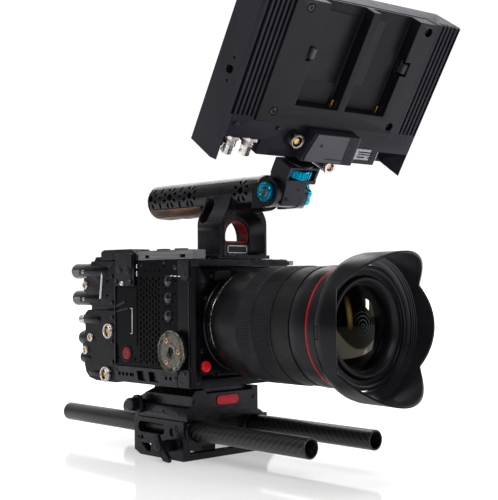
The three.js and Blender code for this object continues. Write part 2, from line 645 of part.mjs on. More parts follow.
function bncPlug(x) {
  const y = -27.6;
  const body = rod('z', [x, y], 4.8, 4, 18.7, SEGMENTS.small);
  const flange = rod('z', [x, y], 6.4, 15.4, 18.7, SEGMENTS.small);
  const mouth = rod('z', [x, y], 3.6, 3, 12, SEGMENTS.small);
  const pin = rod('z', [x, y], 0.9, 7, 13, 8);
  const lug = rod('y', [x, 6.5], 1, y - 6.2, y - 4, 8);
  return join(cut(join(body, flange), mouth), pin, lug);
}

function controlPort() {
  const centre = [-30.8, 22.7];
  const outer = rod('y', centre, 6.3, -40.5, -MONITOR.back - GAP, SEGMENTS.round);
  const socket = rod('y', centre, 4.6, -42, -37, SEGMENTS.round);
  return join(cut(outer, socket), rod('y', centre, 2.6, -39.5, -36, SEGMENTS.small));
}

// ---------------------------------------------------------------- assembly
function addBase() {
  add('base_clamp', baseClamp(), FINISH.blackAnodised);
  add('rod_near', rodTube(-ROD.spacing / 2, ROD.nearFront), FINISH.carbon);
  add('rod_far', rodTube(ROD.spacing / 2, ROD.farFront), FINISH.carbon);
  add('rod_lever_near', mirrorX(rodLever()), FINISH.blackAnodised);
  add('rod_lever_far', rodLever(), FINISH.blackAnodised);
  add('clamp_body', clampBody(), FINISH.blackAnodised);
  add('clamp_knob', clampKnob(), FINISH.blackPlastic);
}

function addCamera() {
  add('camera_plate', cameraPlate(), FINISH.blackAnodised);
  add('body_shell', bodyShell(), FINISH.blackPaint);
  add('front_plate', frontPlate(), FINISH.blackPaint);
  add('front_lip', frontLip(), FINISH.blackAnodised);
  add('side_panel', sidePanel(), FINISH.blackPaint);
  add('side_rail', sideRail(), FINISH.blackAnodised);
  add('top_rail', topRail(), FINISH.satinGrey);
  add('top_block', topBlock(), FINISH.blackAnodised);
  add('touchscreen_frame', screenFrame(), FINISH.blackPlastic);
  add('touchscreen_glass', box([-22.7, 39.7], [-5.7, 39.7], [158.1, 159.1]), FINISH.glass);
  add('lens_mount', ring(30.3, 33.7, FRAME.face - 4.2, FRAME.face + 1.7), FINISH.silver);
  add('image_sensor', sensor(), FINISH.board);
  add('main_board', box([-40, 42], [-14, -12], [64, 147]), FINISH.board);
  add('heat_sink', heatSink(), FINISH.copper);
  add('cooling_fan', coolingFan(), FINISH.blackPlastic);
  add('battery_plate', batteryPlate(), FINISH.blackAnodised);
  add('battery', batteryPack(), FINISH.blackPlastic);
  add('rosette_block', rosetteBlock(), FINISH.blackAnodised);
  add('rosette', rosette(), FINISH.nickel);
  add('record_button_side', rod('x', [33, 80], 5.2, -51.5, -49.9, SEGMENTS.small), FINISH.darkRed);
  add('record_button_front', rod('y', [-37.5, 73], 4.4, -50.6, -44, SEGMENTS.small), FINISH.red);
  add('port_module_upper', upperModule(), FINISH.blackPaint);
  add('port_module_lower', lowerModule(), FINISH.blackPaint);
  add('power_port', portCollar(56.6, 97), FINISH.silver);
  add('control_port_low', portCollar(60.8, 61.6), FINISH.silver);
  add('video_out_rear', rod('y', [-45.4, 105.6], 4.6, 92.3, 104.5, SEGMENTS.small), FINISH.silver);
}

function addLens() {
  add('lens_barrel', lensBarrel(), FINISH.blackPlastic);
  add('zoom_ring', ring(LENS.sleeve + GAP, LENS.radius, LENS.bandSplit + GAP, LENS.zoomRear), FINISH.rubber);
  add('focus_ring', ring(LENS.sleeve + GAP, LENS.radius, LENS.focusFront, LENS.bandSplit), FINISH.rubber);
  add('lens_front_barrel', lensFrontBarrel(), FINISH.blackPlastic);
  add('control_ring', ring(LENS.sleeve + GAP, LENS.radius - 0.4, LENS.controlFront, LENS.focusFront - GAP), FINISH.rubber);
  add('front_element', lensElement(LENS.glassRadius, LENS.glassFront, 4.2, 3.6), FINISH.glass);
  add('rear_element', lensElement(24, -70, 3, 4), FINISH.glass);
  add('lens_hood', lensHood(), FINISH.blackPlastic);
  const hoodButton = prism('z', polygon([[-49.3, -172.7], [-51.6, -177.5], [-49.4, -177.5], [-48.1, -172.7]]), AXIS_Z - 6, AXIS_Z + 2.8);
  add('hood_button', hoodButton, FINISH.blackPlastic);
}

function addHandle() {
  add('top_handle', topHandle(), FINISH.blackAnodised);
  add('walnut_grip', walnutGrip(), FINISH.walnut);
  add('eye_liner', eyeLiner(), FINISH.darkRed);
  add('tilt_bolt', tiltBolt(), FINISH.cyan);
  add('tilt_nut', tiltNut(), FINISH.cyan);
}

function addArm() {
  const arm = new THREE.Group();
  arm.position.set(0, HINGE.y, HINGE.z);
  arm.rotation.set(...[ARM.tiltDeg, ARM.leanDeg, 0].map(THREE.MathUtils.degToRad));
  add('arm_body', armBody(), FINISH.darkGrey, arm);
  add('swivel_wheel', swivelWheel(), FINISH.cyan, arm);
  add('swivel_foot', swivelFoot(), FINISH.blackAnodised, arm);
  rig.add(arm);
}

function addMonitor() {
  const { origin, swivelDeg, half, height } = MONITOR;
  const monitor = new THREE.Group();
  monitor.position.set(...origin);
  monitor.rotation.set(...[ARM.tiltDeg, ARM.leanDeg, swivelDeg].map(THREE.MathUtils.degToRad));
  add('monitor_chassis', monitorChassis(), FINISH.darkGrey, monitor);
  add('battery_bays', batteryBays(), FINISH.blackPlastic, monitor);
  add('battery_latch_left', batteryLatch(-42), FINISH.satinGrey, monitor);
  add('battery_latch_right', batteryLatch(48), FINISH.satinGrey, monitor);
  add('display_panel', box([-half + 7, half - 7], [-4.4, -2.1], [15, height - 9]), FINISH.board, monitor);
  add('cover_glass', box([-half + 6.4, half - 6.4], [-1.6, -0.2], [14.4, height - 8.4]), FINISH.glass, monitor);
  add('monitor_board', box([-78, 78], [-14, -11], [26, 116]), FINISH.board, monitor);
  add('monitor_port_left', bncPlug(-80.6), FINISH.silver, monitor);
  add('monitor_port_right', bncPlug(-64.4), FINISH.silver, monitor);
  add('monitor_control_port', controlPort(), FINISH.nickel, monitor);
  rig.add(monitor);
}

addBase();
addCamera();
addLens();
addHandle();
addArm();
addMonitor();

export default rig;
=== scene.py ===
"""Looks for a cinema camera rig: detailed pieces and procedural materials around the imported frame.

Lengths in this script are millimetres in the CAD's frame until a mesh is made, which is in metres.
"""
import json
import math

import bmesh
import bpy
from mathutils import Euler, Matrix, Vector


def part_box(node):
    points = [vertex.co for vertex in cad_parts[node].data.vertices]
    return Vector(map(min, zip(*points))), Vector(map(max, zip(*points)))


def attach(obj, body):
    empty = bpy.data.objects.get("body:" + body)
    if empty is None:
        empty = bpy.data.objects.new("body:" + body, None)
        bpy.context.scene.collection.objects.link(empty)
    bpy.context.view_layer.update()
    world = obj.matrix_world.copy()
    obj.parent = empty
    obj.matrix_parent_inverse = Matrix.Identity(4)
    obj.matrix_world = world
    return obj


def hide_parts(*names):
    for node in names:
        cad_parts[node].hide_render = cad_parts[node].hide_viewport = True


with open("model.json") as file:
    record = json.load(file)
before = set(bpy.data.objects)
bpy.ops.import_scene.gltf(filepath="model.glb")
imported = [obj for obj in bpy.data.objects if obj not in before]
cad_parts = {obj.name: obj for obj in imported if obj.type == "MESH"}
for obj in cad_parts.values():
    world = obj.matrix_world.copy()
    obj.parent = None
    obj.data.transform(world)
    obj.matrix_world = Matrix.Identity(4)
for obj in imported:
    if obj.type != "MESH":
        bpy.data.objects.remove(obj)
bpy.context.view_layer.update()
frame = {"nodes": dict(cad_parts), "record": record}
MM = 0.001
X, Y, Z = Vector((1, 0, 0)), Vector((0, 1, 0)), Vector((0, 0, 1))


# ---------------- frames and places
BODY_OF = {node: body for body, nodes in frame["record"]["behaviour"]["bodies"].items() for node in nodes}


def middle(node):
    """The middle of a CAD node's box, in millimetres."""
    low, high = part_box(node)
    return [round(value / MM, 2) for value in (low + high) / 2]


def plane(u, v, out, at=(0, 0, 0)):
    """A frame whose X and Y axes lie along u and v and whose Z axis points out."""
    return Matrix.Translation(Vector(at)) @ Matrix((u, v, out)).transposed().to_4x4()


def facing(at, direction, up=Z):
    """A frame at a point whose Z axis runs along a direction."""
    out = Vector(direction).normalized()
    side = Vector(up).cross(out)
    u = (side if side.length > 1e-4 else X).normalized()
    return plane(u, out.cross(u), out, at)


def spin(turn, axis="Z"):
    return Matrix.Rotation(turn, 4, axis)


AXIS_Z = middle("control_ring")[2]
ROD_X, _, ROD_Z = middle("rod_far")
_, HINGE_Y, HINGE_Z = middle("tilt_bolt")
SIDE_X = round(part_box("side_panel")[0].x / MM, 2)
FRONT_Y, LIP_Y = -46, -50
GRIP_Z = 204
ROSETTE_Y, ROSETTE_Z = middle("rosette")[1:]
BUTTON_Y, BUTTON_ZS = -20.2, (137.6, 124.4, 110.8)
MON_SIDE, MON_BACK = -91.2, -34.0

LENS = facing((0, 0, AXIS_Z), -Y)  # its Z axis runs forward, so a height is minus the CAD's Y
SIDE = plane(Y, Z, -X, (SIDE_X, 0, 0))
FRONT, REAR = plane(X, Z, -Y), plane(X, Z, Y)
ARM_TURN = Euler((math.radians(32.6), math.radians(-3.25), 0), "XYZ").to_matrix().to_4x4()
ARM = Matrix.Translation((0, HINGE_Y, HINGE_Z)) @ ARM_TURN
MONITOR = Matrix.Translation((26.0, -76.9, 240.3)) @ ARM_TURN @ spin(math.radians(-6.57))
MONITOR_FRONT = MONITOR @ FRONT


def on_side(y, z, off=0.0):
    """A frame on the side panel's plane, or a little out from it."""
    return facing((SIDE_X - off, y, z), -X)


# ---------------- materials
class Tree:
    """A node tree and a short way to add a node with its inputs set or linked."""

    def __init__(self, tree):
        self.nodes, self.links = tree.nodes, tree.links

    def add(self, kind, inputs=None, **settings):
        node = self.nodes.new(kind)
        for key, value in settings.items():
            setattr(node, key, value)
        for key, value in (inputs or {}).items():
            if isinstance(value, bpy.types.NodeSocket):
                self.links.new(value, node.inputs[key])
            else:
                node.inputs[key].default_value = value
        return node


class Shader(Tree):
    """A Principled material whose colour, roughness and bump come from nodes."""

    def __init__(self, name, **sockets):
        self.material = bpy.data.materials.new(name)
        self.material.use_nodes = True
        super().__init__(self.material.node_tree)
        self.surface = self.nodes["Principled BSDF"].inputs
        for socket, value in sockets.items():
            self.surface[socket.replace("_", " ")].default_value = value
        self.position = self.add("ShaderNodeTexCoord").outputs["Object"]

    def maths(self, operation, a, b=0.0):
        return self.add("ShaderNodeMath", {0: a, 1: b}, operation=operation).outputs[0]

    def plus(self, a, b):
        return self.maths("ADD", a, b)

    def minus(self, a, b):
        return self.maths("SUBTRACT", a, b)

    def times(self, a, b):
        return self.maths("MULTIPLY", a, b)

    def away(self, a, b):
        """The distance between two values."""
        return self.maths("ABSOLUTE", self.minus(a, b))

    def axes(self):
        return self.add("ShaderNodeSeparateXYZ", {"Vector": self.position}).outputs

    def turn(self, across, z, axis_z):
        """The angle about an axis along Y."""
        return self.maths("ARCTAN2", self.minus(z, axis_z * MM), across)

    def stretched(self, scale):
        return self.add("ShaderNodeMapping", {"Vector": self.position, "Scale": scale}).outputs[0]

    def noise(self, scale, detail=3.0, vector=None, distortion=0.0):
        inputs = {"Vector": vector or self.position, "Scale": scale, "Detail": detail}
        return self.add("ShaderNodeTexNoise", {**inputs, "Distortion": distortion}).outputs["Fac"]

    def ramp(self, value, low, high, start=0.35, end=0.65):
        inputs = {"Value": value, "From Min": start, "From Max": end, "To Min": low, "To Max": high}
        return self.add("ShaderNodeMapRange", inputs).outputs[0]

    def colour(self, value, low, high, start=0.3, end=0.7):
        node = self.add("ShaderNodeValToRGB", {"Fac": value})
        for stop, position, tint in zip(node.color_ramp.elements, (start, end), (low, high)):
            stop.position = position
            stop.color = (*tint, 1)
        self.links.new(node.outputs[0], self.surface["Base Color"])
        return node.outputs[0]

    def roughness(self, value):
        self.links.new(value, self.surface["Roughness"])

    def relief(self, value, distance, strength=1.0, rounded=0.0):
        inputs = {"Height": value, "Distance": distance, "Strength": strength}
        if rounded:
            inputs["Normal"] = self.add("ShaderNodeBevel", {"Radius": rounded}, samples=4).outputs[0]
        self.links.new(self.add("ShaderNodeBump", inputs).outputs[0], self.surface["Normal"])


def coated(name, low, high, rough, grain=1800.0, depth=0.00002, rounded=0.0006, **sockets):
    """Paint or anodising: slow colour drift, patchy gloss, a fine grain and softened edges."""
    # The bluish specular tint is painted light: a cool cast on every reflection that stands in for bluish
    # light in the shade.
    made = Shader(name, **{"IOR": 1.31, "Specular_Tint": (0.9, 0.87, 1.0, 1.0), **sockets})
    made.colour(made.noise(38.0, 4.0), low, high)
    made.roughness(made.ramp(made.noise(90.0, 5.0), *rough))
    made.relief(made.noise(grain, 2.0), depth, 0.35, rounded)
    return made.material


def brushed(name, low, high, rough, stretch):
    """Metal with fine lines along the axis that is stretched least."""
    made = Shader(name, Metallic=1.0)
    lines = made.noise(1.0, 3.0, made.stretched(stretch))
    made.colour(lines, low, high)
    made.roughness(made.ramp(lines, *rough))
    made.relief(lines, 0.00001, 0.4, 0.0003)
    return made.material


def twill(name):
    """Carbon fibre: a two-by-two weave wound round each rod, under a satin lacquer."""
    made = Shader(name, IOR=1.4, Coat_Weight=0.15, Coat_Roughness=0.25)
    x, y, z = made.axes()
    turn = made.turn(made.minus(made.maths("ABSOLUTE", x), ROD_X * MM), z, ROD_Z)
    strand = made.maths("FLOOR", made.times(turn, 32.0 / (2 * math.pi)))
    row = made.maths("FLOOR", made.times(y, 680.0))
    step = made.maths("FRACT", made.times(made.plus(strand, row), 0.25))
    warp = made.maths("GREATER_THAN", step, 0.45)
    shade = made.plus(made.times(warp, 0.7), made.times(made.noise(900.0, 2.0), 0.3))
    made.colour(shade, (0.003, 0.003, 0.0035), (0.026, 0.026, 0.027), 0.1, 0.95)
    made.roughness(made.ramp(shade, 0.34, 0.5, 0.0, 1.0))
    made.relief(shade, 0.00006, 0.5)
    return made.material


def walnut(name):
    """Long grain along Y with finer pores in it."""
    made = Shader(name, Coat_Weight=0.12, Coat_Roughness=0.35)
    grain = made.noise(1.0, 6.0, made.stretched((240, 34, 240)), 0.6)
    pores = made.noise(1.0, 2.0, made.stretched((1500, 120, 1500)))
    mixed = made.plus(made.times(grain, 0.8), made.times(pores, 0.2))
    made.colour(mixed, (0.035, 0.013, 0.005), (0.23, 0.098, 0.042), 0.38, 0.62)
    made.roughness(made.ramp(mixed, 0.62, 0.4))
    made.relief(mixed, 0.0002, 0.4, 0.0008)
    return made.material


def knurled(name):
    """Fine crossed grooves wound round the lens axis."""
    made = Shader(name, IOR=1.33)
    x, y, z = made.axes()
    round_axis = made.times(made.turn(x, z, AXIS_Z), 130.0)
    along = made.times(y, 3000.0)
    grid = made.times(made.maths("SINE", made.plus(round_axis, along)),
                      made.maths("SINE", made.minus(round_axis, along)))
    made.colour(grid, (0.0022, 0.0022, 0.0027), (0.006, 0.006, 0.0068), 0.2, 0.8)
    made.roughness(made.ramp(made.noise(90.0, 4.0), 0.44, 0.56))
    made.relief(grid, 0.0001, 0.5)
    return made.material


def optical(name):
    """A deep black coated dome with painted reflections: faint rings round the middle and an amber streak on
    one side.

    Its gloss is masked to a crescent along the lower rim and one patch high on the right.
    """
    made = Shader(name, IOR=1.46, Specular_Tint=(1.0, 0.9, 0.62, 1.0))
    x, _, z = made.axes()
    across = made.times(made.plus(x, 0.004), 1000.0)
    rise = made.times(made.minus(z, (AXIS_Z + 1.5) * MM), 1000.0)
    reach = made.maths("SQRT", made.plus(made.times(across, across), made.times(rise, rise)))
    waves = made.maths("POWER", made.maths("ABSOLUTE", made.maths("SINE", made.times(reach, 1.15))), 10.0)
    centre = made.ramp(reach, 1.0, 0.0, 5.0, 13.0)
    # Painted highlight: the rings are made lighter towards the upper right, the side the light comes from.
    painted_lit_side = made.ramp(made.plus(across, rise), 0.15, 1.0, -4.0, 8.0)
    ring_reflection_mask = made.times(made.times(waves, centre), painted_lit_side)
    # The rings' colour is a painted reflection of the inner elements.
    rings = made.colour(ring_reflection_mask, (0.0006, 0.0006, 0.0008), (0.06, 0.085, 0.085), 0.05, 1.0)
    # Painted reflection: an amber streak left of the middle, masked by column and mixed over the rings.
    column = made.times(made.ramp(made.away(across, -11.0), 1.0, 0.0, 0.3, 2.6),
                        made.ramp(made.away(rise, 9.0), 1.0, 0.0, 3.0, 12.0))
    painted_amber_reflection = made.add("ShaderNodeMix", {0: column, 6: rings, 7: (0.14, 0.09, 0.025, 1.0)}, data_type="RGBA")
    made.links.new(painted_amber_reflection.outputs[2], made.surface["Base Color"])
    shifted = made.plus(across, 1.0)
    brim = made.minus(made.times(made.times(shifted, shifted), 0.033), 17.0)
    crescent = made.ramp(made.minus(rise, brim), 0.5, 0.06, 0.0, 1.6)
    patch = made.times(made.ramp(rise, 0.0, 0.7, 5.0, 7.0), made.ramp(across, 0.0, 1.0, 2.0, 5.0))
    made.links.new(made.maths("MAXIMUM", crescent, patch), made.surface["Specular IOR Level"])
    made.roughness(made.ramp(made.noise(30.0, 2.0), 0.015, 0.05))
    return made.material


def circuit(name):
    made = Shader(name, Roughness=0.45)
    inputs = {"Vector": made.position, "Scale": 320.0}
    cells = made.add("ShaderNodeTexVoronoi", inputs, distance="MANHATTAN").outputs["Distance"]
    made.colour(cells, (0.004, 0.04, 0.02), (0.02, 0.11, 0.05), 0.1, 0.5)
    made.relief(cells, 0.0004, 0.6)
    return made.material


ANODISED = coated("anodised_black", (0.002, 0.002, 0.0026), (0.005, 0.005, 0.0062), (0.22, 0.34), IOR=1.36)
PAINTED = coated("painted_black", (0.001, 0.001, 0.0015), (0.003, 0.003, 0.004), (0.2, 0.32),
                 2600.0, 0.00004, IOR=1.24)
# Painted shade: a darker, less glossy copy of the black paint for the camera's left side, which the light
# leaves in shade.
SHADED_SIDE_PAINT = coated("side_shade_painted_black", (0.0008, 0.0008, 0.0012), (0.0024, 0.0024, 0.0034), (0.24, 0.34),
               2600.0, 0.00004, IOR=1.15)
# Painted shade: a rough deep black put into bores, socket wells and drilled walls where the real surface only
# lies in shade; it is also the dark print on the monitor label.
SHADE_AND_PRINT_BLACK = coated("painted_shade_and_print_black", (0.001, 0.001, 0.001), (0.0025, 0.0025, 0.0025), (0.6, 0.75), rounded=0.0)
STEEL = coated("black_steel", (0.03, 0.03, 0.032), (0.055, 0.055, 0.057), (0.24, 0.36),
               Metallic=0.9, rounded=0.0)
PLASTIC = coated("moulded_black", (0.002, 0.002, 0.0026), (0.0045, 0.0045, 0.0056), (0.34, 0.42),
                 1300.0, 0.00005)
LENS_BLACK = coated("lens_black", (0.0025, 0.0025, 0.003), (0.0055, 0.0055, 0.0064), (0.34, 0.44),
                    2400.0, 0.00003, 0.0)
HOOD = coated("hood_black", (0.0025, 0.0025, 0.003), (0.006, 0.006, 0.007), (0.28, 0.38),
              2400.0, 0.00003, 0.0, IOR=1.24)
FLOCK = coated("hood_inner_black", (0.006, 0.006, 0.0072), (0.012, 0.012, 0.014), (0.3, 0.38),
               3200.0, 0.00004, 0.0, IOR=1.65)
RUBBER = coated("ribbed_rubber", (0.0045, 0.0045, 0.005), (0.009, 0.009, 0.0095), (0.46, 0.6),
                2600.0, 0.00005, 0.0)
GREY = coated("monitor_grey", (0.007, 0.007, 0.011), (0.012, 0.0122, 0.018), (0.3, 0.4),
              2200.0, 0.00003, 0.0005, Metallic=0.1)
LATCH = coated("latch_grey", (0.028, 0.028, 0.034), (0.04, 0.04, 0.048), (0.32, 0.42), IOR=1.45)
CYAN = coated("cyan_anodised", (0.0, 0.2, 0.34), (0.0, 0.4, 0.6), (0.2, 0.32), Metallic=0.85, rounded=0.0002)
RED = coated("red_gloss", (0.42, 0.005, 0.01), (0.62, 0.01, 0.018), (0.16, 0.26), rounded=0.0003)
BADGE_RED = coated("red_enamel", (0.6, 0.01, 0.022), (0.82, 0.018, 0.035), (0.16, 0.26), rounded=0.0003)
DARK_RED = coated("red_satin", (0.15, 0.008, 0.01), (0.26, 0.012, 0.014), (0.34, 0.48), rounded=0.0003)
RING_RED = coated("lens_ring_red", (0.36, 0.005, 0.01), (0.5, 0.008, 0.014), (0.25, 0.35), rounded=0.0)
PALE = coated("pale_print", (0.82, 0.82, 0.82), (0.9, 0.9, 0.89), (0.4, 0.5), rounded=0.0)
RAIL = brushed("satin_rail", (0.16, 0.16, 0.17), (0.28, 0.28, 0.3), (0.3, 0.42), (900, 20, 900))
NICKEL = brushed("nickel_bronze", (0.075, 0.069, 0.06), (0.17, 0.155, 0.135), (0.24, 0.36), (300, 300, 300))
SILVER = brushed("bright_silver", (0.5, 0.47, 0.45), (0.74, 0.7, 0.68), (0.24, 0.34), (200, 500, 500))
GOLD = brushed("gold_contact", (0.5, 0.3, 0.1), (0.78, 0.5, 0.2), (0.2, 0.32), (300, 300, 300))
COPPER = brushed("copper_pink", (0.5, 0.25, 0.17), (0.72, 0.4, 0.28), (0.25, 0.38), (400, 400, 400))
CARBON = twill("carbon_twill")
WALNUT = walnut("oiled_walnut")
KNURL = knurled("knurled_rubber")
FRONT_GLASS = optical("front_glass")
AMBER_GLASS = coated("amber_element", (0.0008, 0.0006, 0.0004), (0.0014, 0.001, 0.0007), (0.02, 0.05),
                     60.0, 0.0, 0.0, IOR=2.1, Specular_Tint=(1.0, 0.86, 0.55, 1.0))
SCREEN = coated("screen_glass", (0.002, 0.002, 0.003), (0.004, 0.004, 0.005), (0.03, 0.06),
                rounded=0.0, IOR=1.5)
BOARD = circuit("circuit_board")


# ---------------- shape tools
class Sketch:
    """Collects closed shapes, in millimetres, that become one piece."""

    def __init__(self, material=None):
        self.mesh = bmesh.new()
        self.slots = []
        self.index = 0
        if material:
            self.use(material)

    def use(self, material):
        if material not in self.slots:
            self.slots.append(material)
        self.index = self.slots.index(material)
        return self

    def face(self, corners):
        self.mesh.faces.new(corners).material_index = self.index

    def turned(self, profile, at=Matrix(), segments=48, wave=None):
        """A closed body of revolution about the frame's Z axis, from [radius, height] points."""
        rows = []
        for r, h in profile:
            if r < 1e-6:
                rows.append([self.mesh.verts.new(at @ Vector((0, 0, h)))] * segments)
                continue
            row = []
            for i in range(segments):
                turn = 2 * math.pi * i / segments
                radius = r + (wave(i, r) if wave else 0.0)
                spot = Vector((radius * math.cos(turn), radius * math.sin(turn), h))
                row.append(self.mesh.verts.new(at @ spot))
            rows.append(row)
        pairs = list(zip(rows, rows[1:]))
        if profile[0][0] > 1e-6 and profile[-1][0] > 1e-6:
            pairs.append((rows[-1], rows[0]))
        for low, high in pairs:
            for i in range(segments):
                j = (i + 1) % segments
                corners = list(dict.fromkeys((low[i], low[j], high[j], high[i])))
                if len(corners) > 2:
                    self.face(corners)
        return self

    def peg(self, radius, low, high, at, segments):
        return self.turned([(0, low), (radius, low), (radius, high), (0, high)], at, segments)

    def prism(self, outline, low, high, at=Matrix()):
        """An outline in the frame's XY plane, pulled along Z."""
        bottom = [self.mesh.verts.new(at @ Vector((u, v, low))) for u, v in outline]
        top = [self.mesh.verts.new(at @ Vector((u, v, high))) for u, v in outline]
        self.face(bottom)
        self.face(top)
        for i in range(len(outline)):
            j = (i + 1) % len(outline)
            self.face((bottom[i], bottom[j], top[j], top[i]))
        return self

    def bore(self, radius, low, high, at, sides=16):
        return self.prism(circle(radius, sides), low, high, at)

    def slab(self, low, high, radius, bottom, top, at=Matrix(), steps=5):
        """A round-cornered rectangle in the frame's XY plane, pulled along Z."""
        return self.prism(rounded(low, high, radius, steps), bottom, top, at)

    def box(self, low, high, at=Matrix()):
        (x0, y0, z0), (x1, y1, z1) = low, high
        return self.prism([(x0, y0), (x1, y0), (x1, y1), (x0, y1)], z0, z1, at)

    def dark(self, radius, low, high, at, sides):
        """A dark plug of painted shade that reads as an open socket."""
        before = self.index
        self.use(SHADE_AND_PRINT_BLACK).bore(radius, low, high, at, sides)
        self.index = before
        return self

    def screw(self, at, direction, radius=2.0, proud=0.5):
        """A button-head screw whose hex socket is a dark plug of painted shade, all but flush with the head.
        """
        place = facing(at, direction)
        socket = radius * 0.5
        head = [(0, -0.1), (radius, -0.1), (radius, proud * 0.5), (radius * 0.8, proud), (socket, proud)]
        return self.turned(head, place, 20).dark(socket * 1.02, -0.2, proud - 0.02, place, 6)

    def hole(self, at, direction, radius, rim, proud):
        """A tapped hole: a chamfered rim around a thin dark disc of painted shade for the bore."""
        place = facing(at, direction)
        outer = radius + rim
        lip = [(radius, -0.1), (outer, -0.1), (outer - 0.2, proud), (radius + 0.2, proud),
               (radius, proud - 0.2)]
        return self.turned(lip, place, 24).dark(radius, -0.1, 0.04, place, 20)

    def data(self, name):
        """Ends the sketch and gives its mesh, in metres."""
        bmesh.ops.recalc_face_normals(self.mesh, faces=self.mesh.faces)
        self.mesh.transform(Matrix.Scale(MM, 4))
        data = bpy.data.meshes.new(name)
        self.mesh.to_mesh(data)
        self.mesh.free()
        for material in self.slots:
            data.materials.append(material)
        return data

    def piece(self, name, slot, body="camera", node=None, **finish):
        placed(self.data(name), name, slot, body, node, **finish)


def placed(data, name, slot, body=None, node=None, bevel=0.0, sharp=32.0, segments=2):
    """Makes a mesh a piece. One that replaces a CAD node rides on that node's body."""
    made = bpy.data.objects.new(name, data)
    bpy.context.scene.collection.objects.link(made)
    data.shade_smooth()
    data.set_sharp_from_angle(angle=math.radians(sharp))
    if bevel:
        edge = made.modifiers.new("edges", "BEVEL")
        edge.width = bevel * MM
        edge.segments = segments
        edge.limit_method = "ANGLE"
        edge.angle_limit = math.radians(30)
        edge.harden_normals = True
    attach(made, BODY_OF.get(node, body))
    if node:
        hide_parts(node)


def circle(radius, sides):
    steps = [2 * math.pi * i / sides for i in range(sides)]
    return [(radius * math.cos(a), radius * math.sin(a)) for a in steps]


def rounded(low, high, radius, steps=5):
    """A rectangle's outline with round corners."""
    corners = [(high[0] - radius, low[1] + radius, -90), (high[0] - radius, high[1] - radius, 0),
               (low[0] + radius, high[1] - radius, 90), (low[0] + radius, low[1] + radius, 180)]
    outline = []
    for u, v, start in corners:
        for k in range(steps + 1):
            a = math.radians(start + 90 * k / steps)
            outline.append((u + radius * math.cos(a), v + radius * math.sin(a)))
    return outline


def scallops(radius, depth, lobes, per_lobe=8):
    """A knob's outline with a shallow dip between each two lobes."""
    outline = []
    for i in range(lobes * per_lobe):
        turn = 2 * math.pi * i / (lobes * per_lobe)
        r = radius - depth * (0.5 - 0.5 * math.cos(lobes * turn)) ** 2
        outline.append((r * math.cos(turn), r * math.sin(turn)))
    return outline


def refined(node, name, material, slot, bevel, cutters=None, dark=SHADE_AND_PRINT_BLACK, sharp=32.0):
    """The CAD node's own shape with drilled details and softened edges. The drilled walls take the dark
    material, by default the deep black of painted shade.
    """
    mesh = bmesh.new()
    mesh.from_mesh(frame["nodes"][node].data)
    bmesh.ops.remove_doubles(mesh, verts=mesh.verts, dist=1e-6)
    bmesh.ops.dissolve_limit(mesh, angle_limit=math.radians(1.0), verts=mesh.verts, edges=mesh.edges)
    data = bpy.data.meshes.new(name)
    mesh.to_mesh(data)
    mesh.free()
    data.materials.clear()
    data.materials.append(material)
    if cutters:
        data.materials.append(dark)
        data = drilled(data, cutters)
    placed(data, name, slot, None, node, bevel, sharp)


def drilled(data, cutters):
    """Takes the cutters' shapes out of a mesh. The cut walls take the second material."""
    tool_data = cutters.data("tool")
    tool_data.materials.append(data.materials[1])
    tool = bpy.data.objects.new("tool", tool_data)
    work = bpy.data.objects.new("work", data)
    for item in (tool, work):
        bpy.context.scene.collection.objects.link(item)
    cut = work.modifiers.new("cut", "BOOLEAN")
    cut.operation = "DIFFERENCE"
    cut.solver = "EXACT"
    cut.material_mode = "TRANSFER"
    cut.object = tool
    bpy.context.view_layer.update()
    result = bpy.data.meshes.new_from_object(work.evaluated_get(bpy.context.evaluated_depsgraph_get()))
    for item in (work, tool):
        bpy.data.objects.remove(item)
    return result


# ---------------- lens
def ribbed_ring(node, name, rear, front, ribs, lands):
    """A grip ring with narrow grooves between two plain lands."""
    inner, outer, depth = 39.8, 43.6, 0.4
    ribbed = outer + 0.005
    profile = [(inner, rear), (outer - 0.3, rear), (outer, rear + 0.3), (outer, rear + lands),
               (ribbed, rear + lands + 0.05), (ribbed, front - lands - 0.05), (outer, front - lands),
               (outer, front - 0.3), (outer - 0.3, front), (inner, front)]
    shape = Sketch(RUBBER)
    shape.turned(profile, LENS, ribs * 3, lambda i, r: -depth if r == ribbed and i % 3 == 2 else 0)
    shape.piece(name, "ribbed_rubber", node=node, sharp=40)


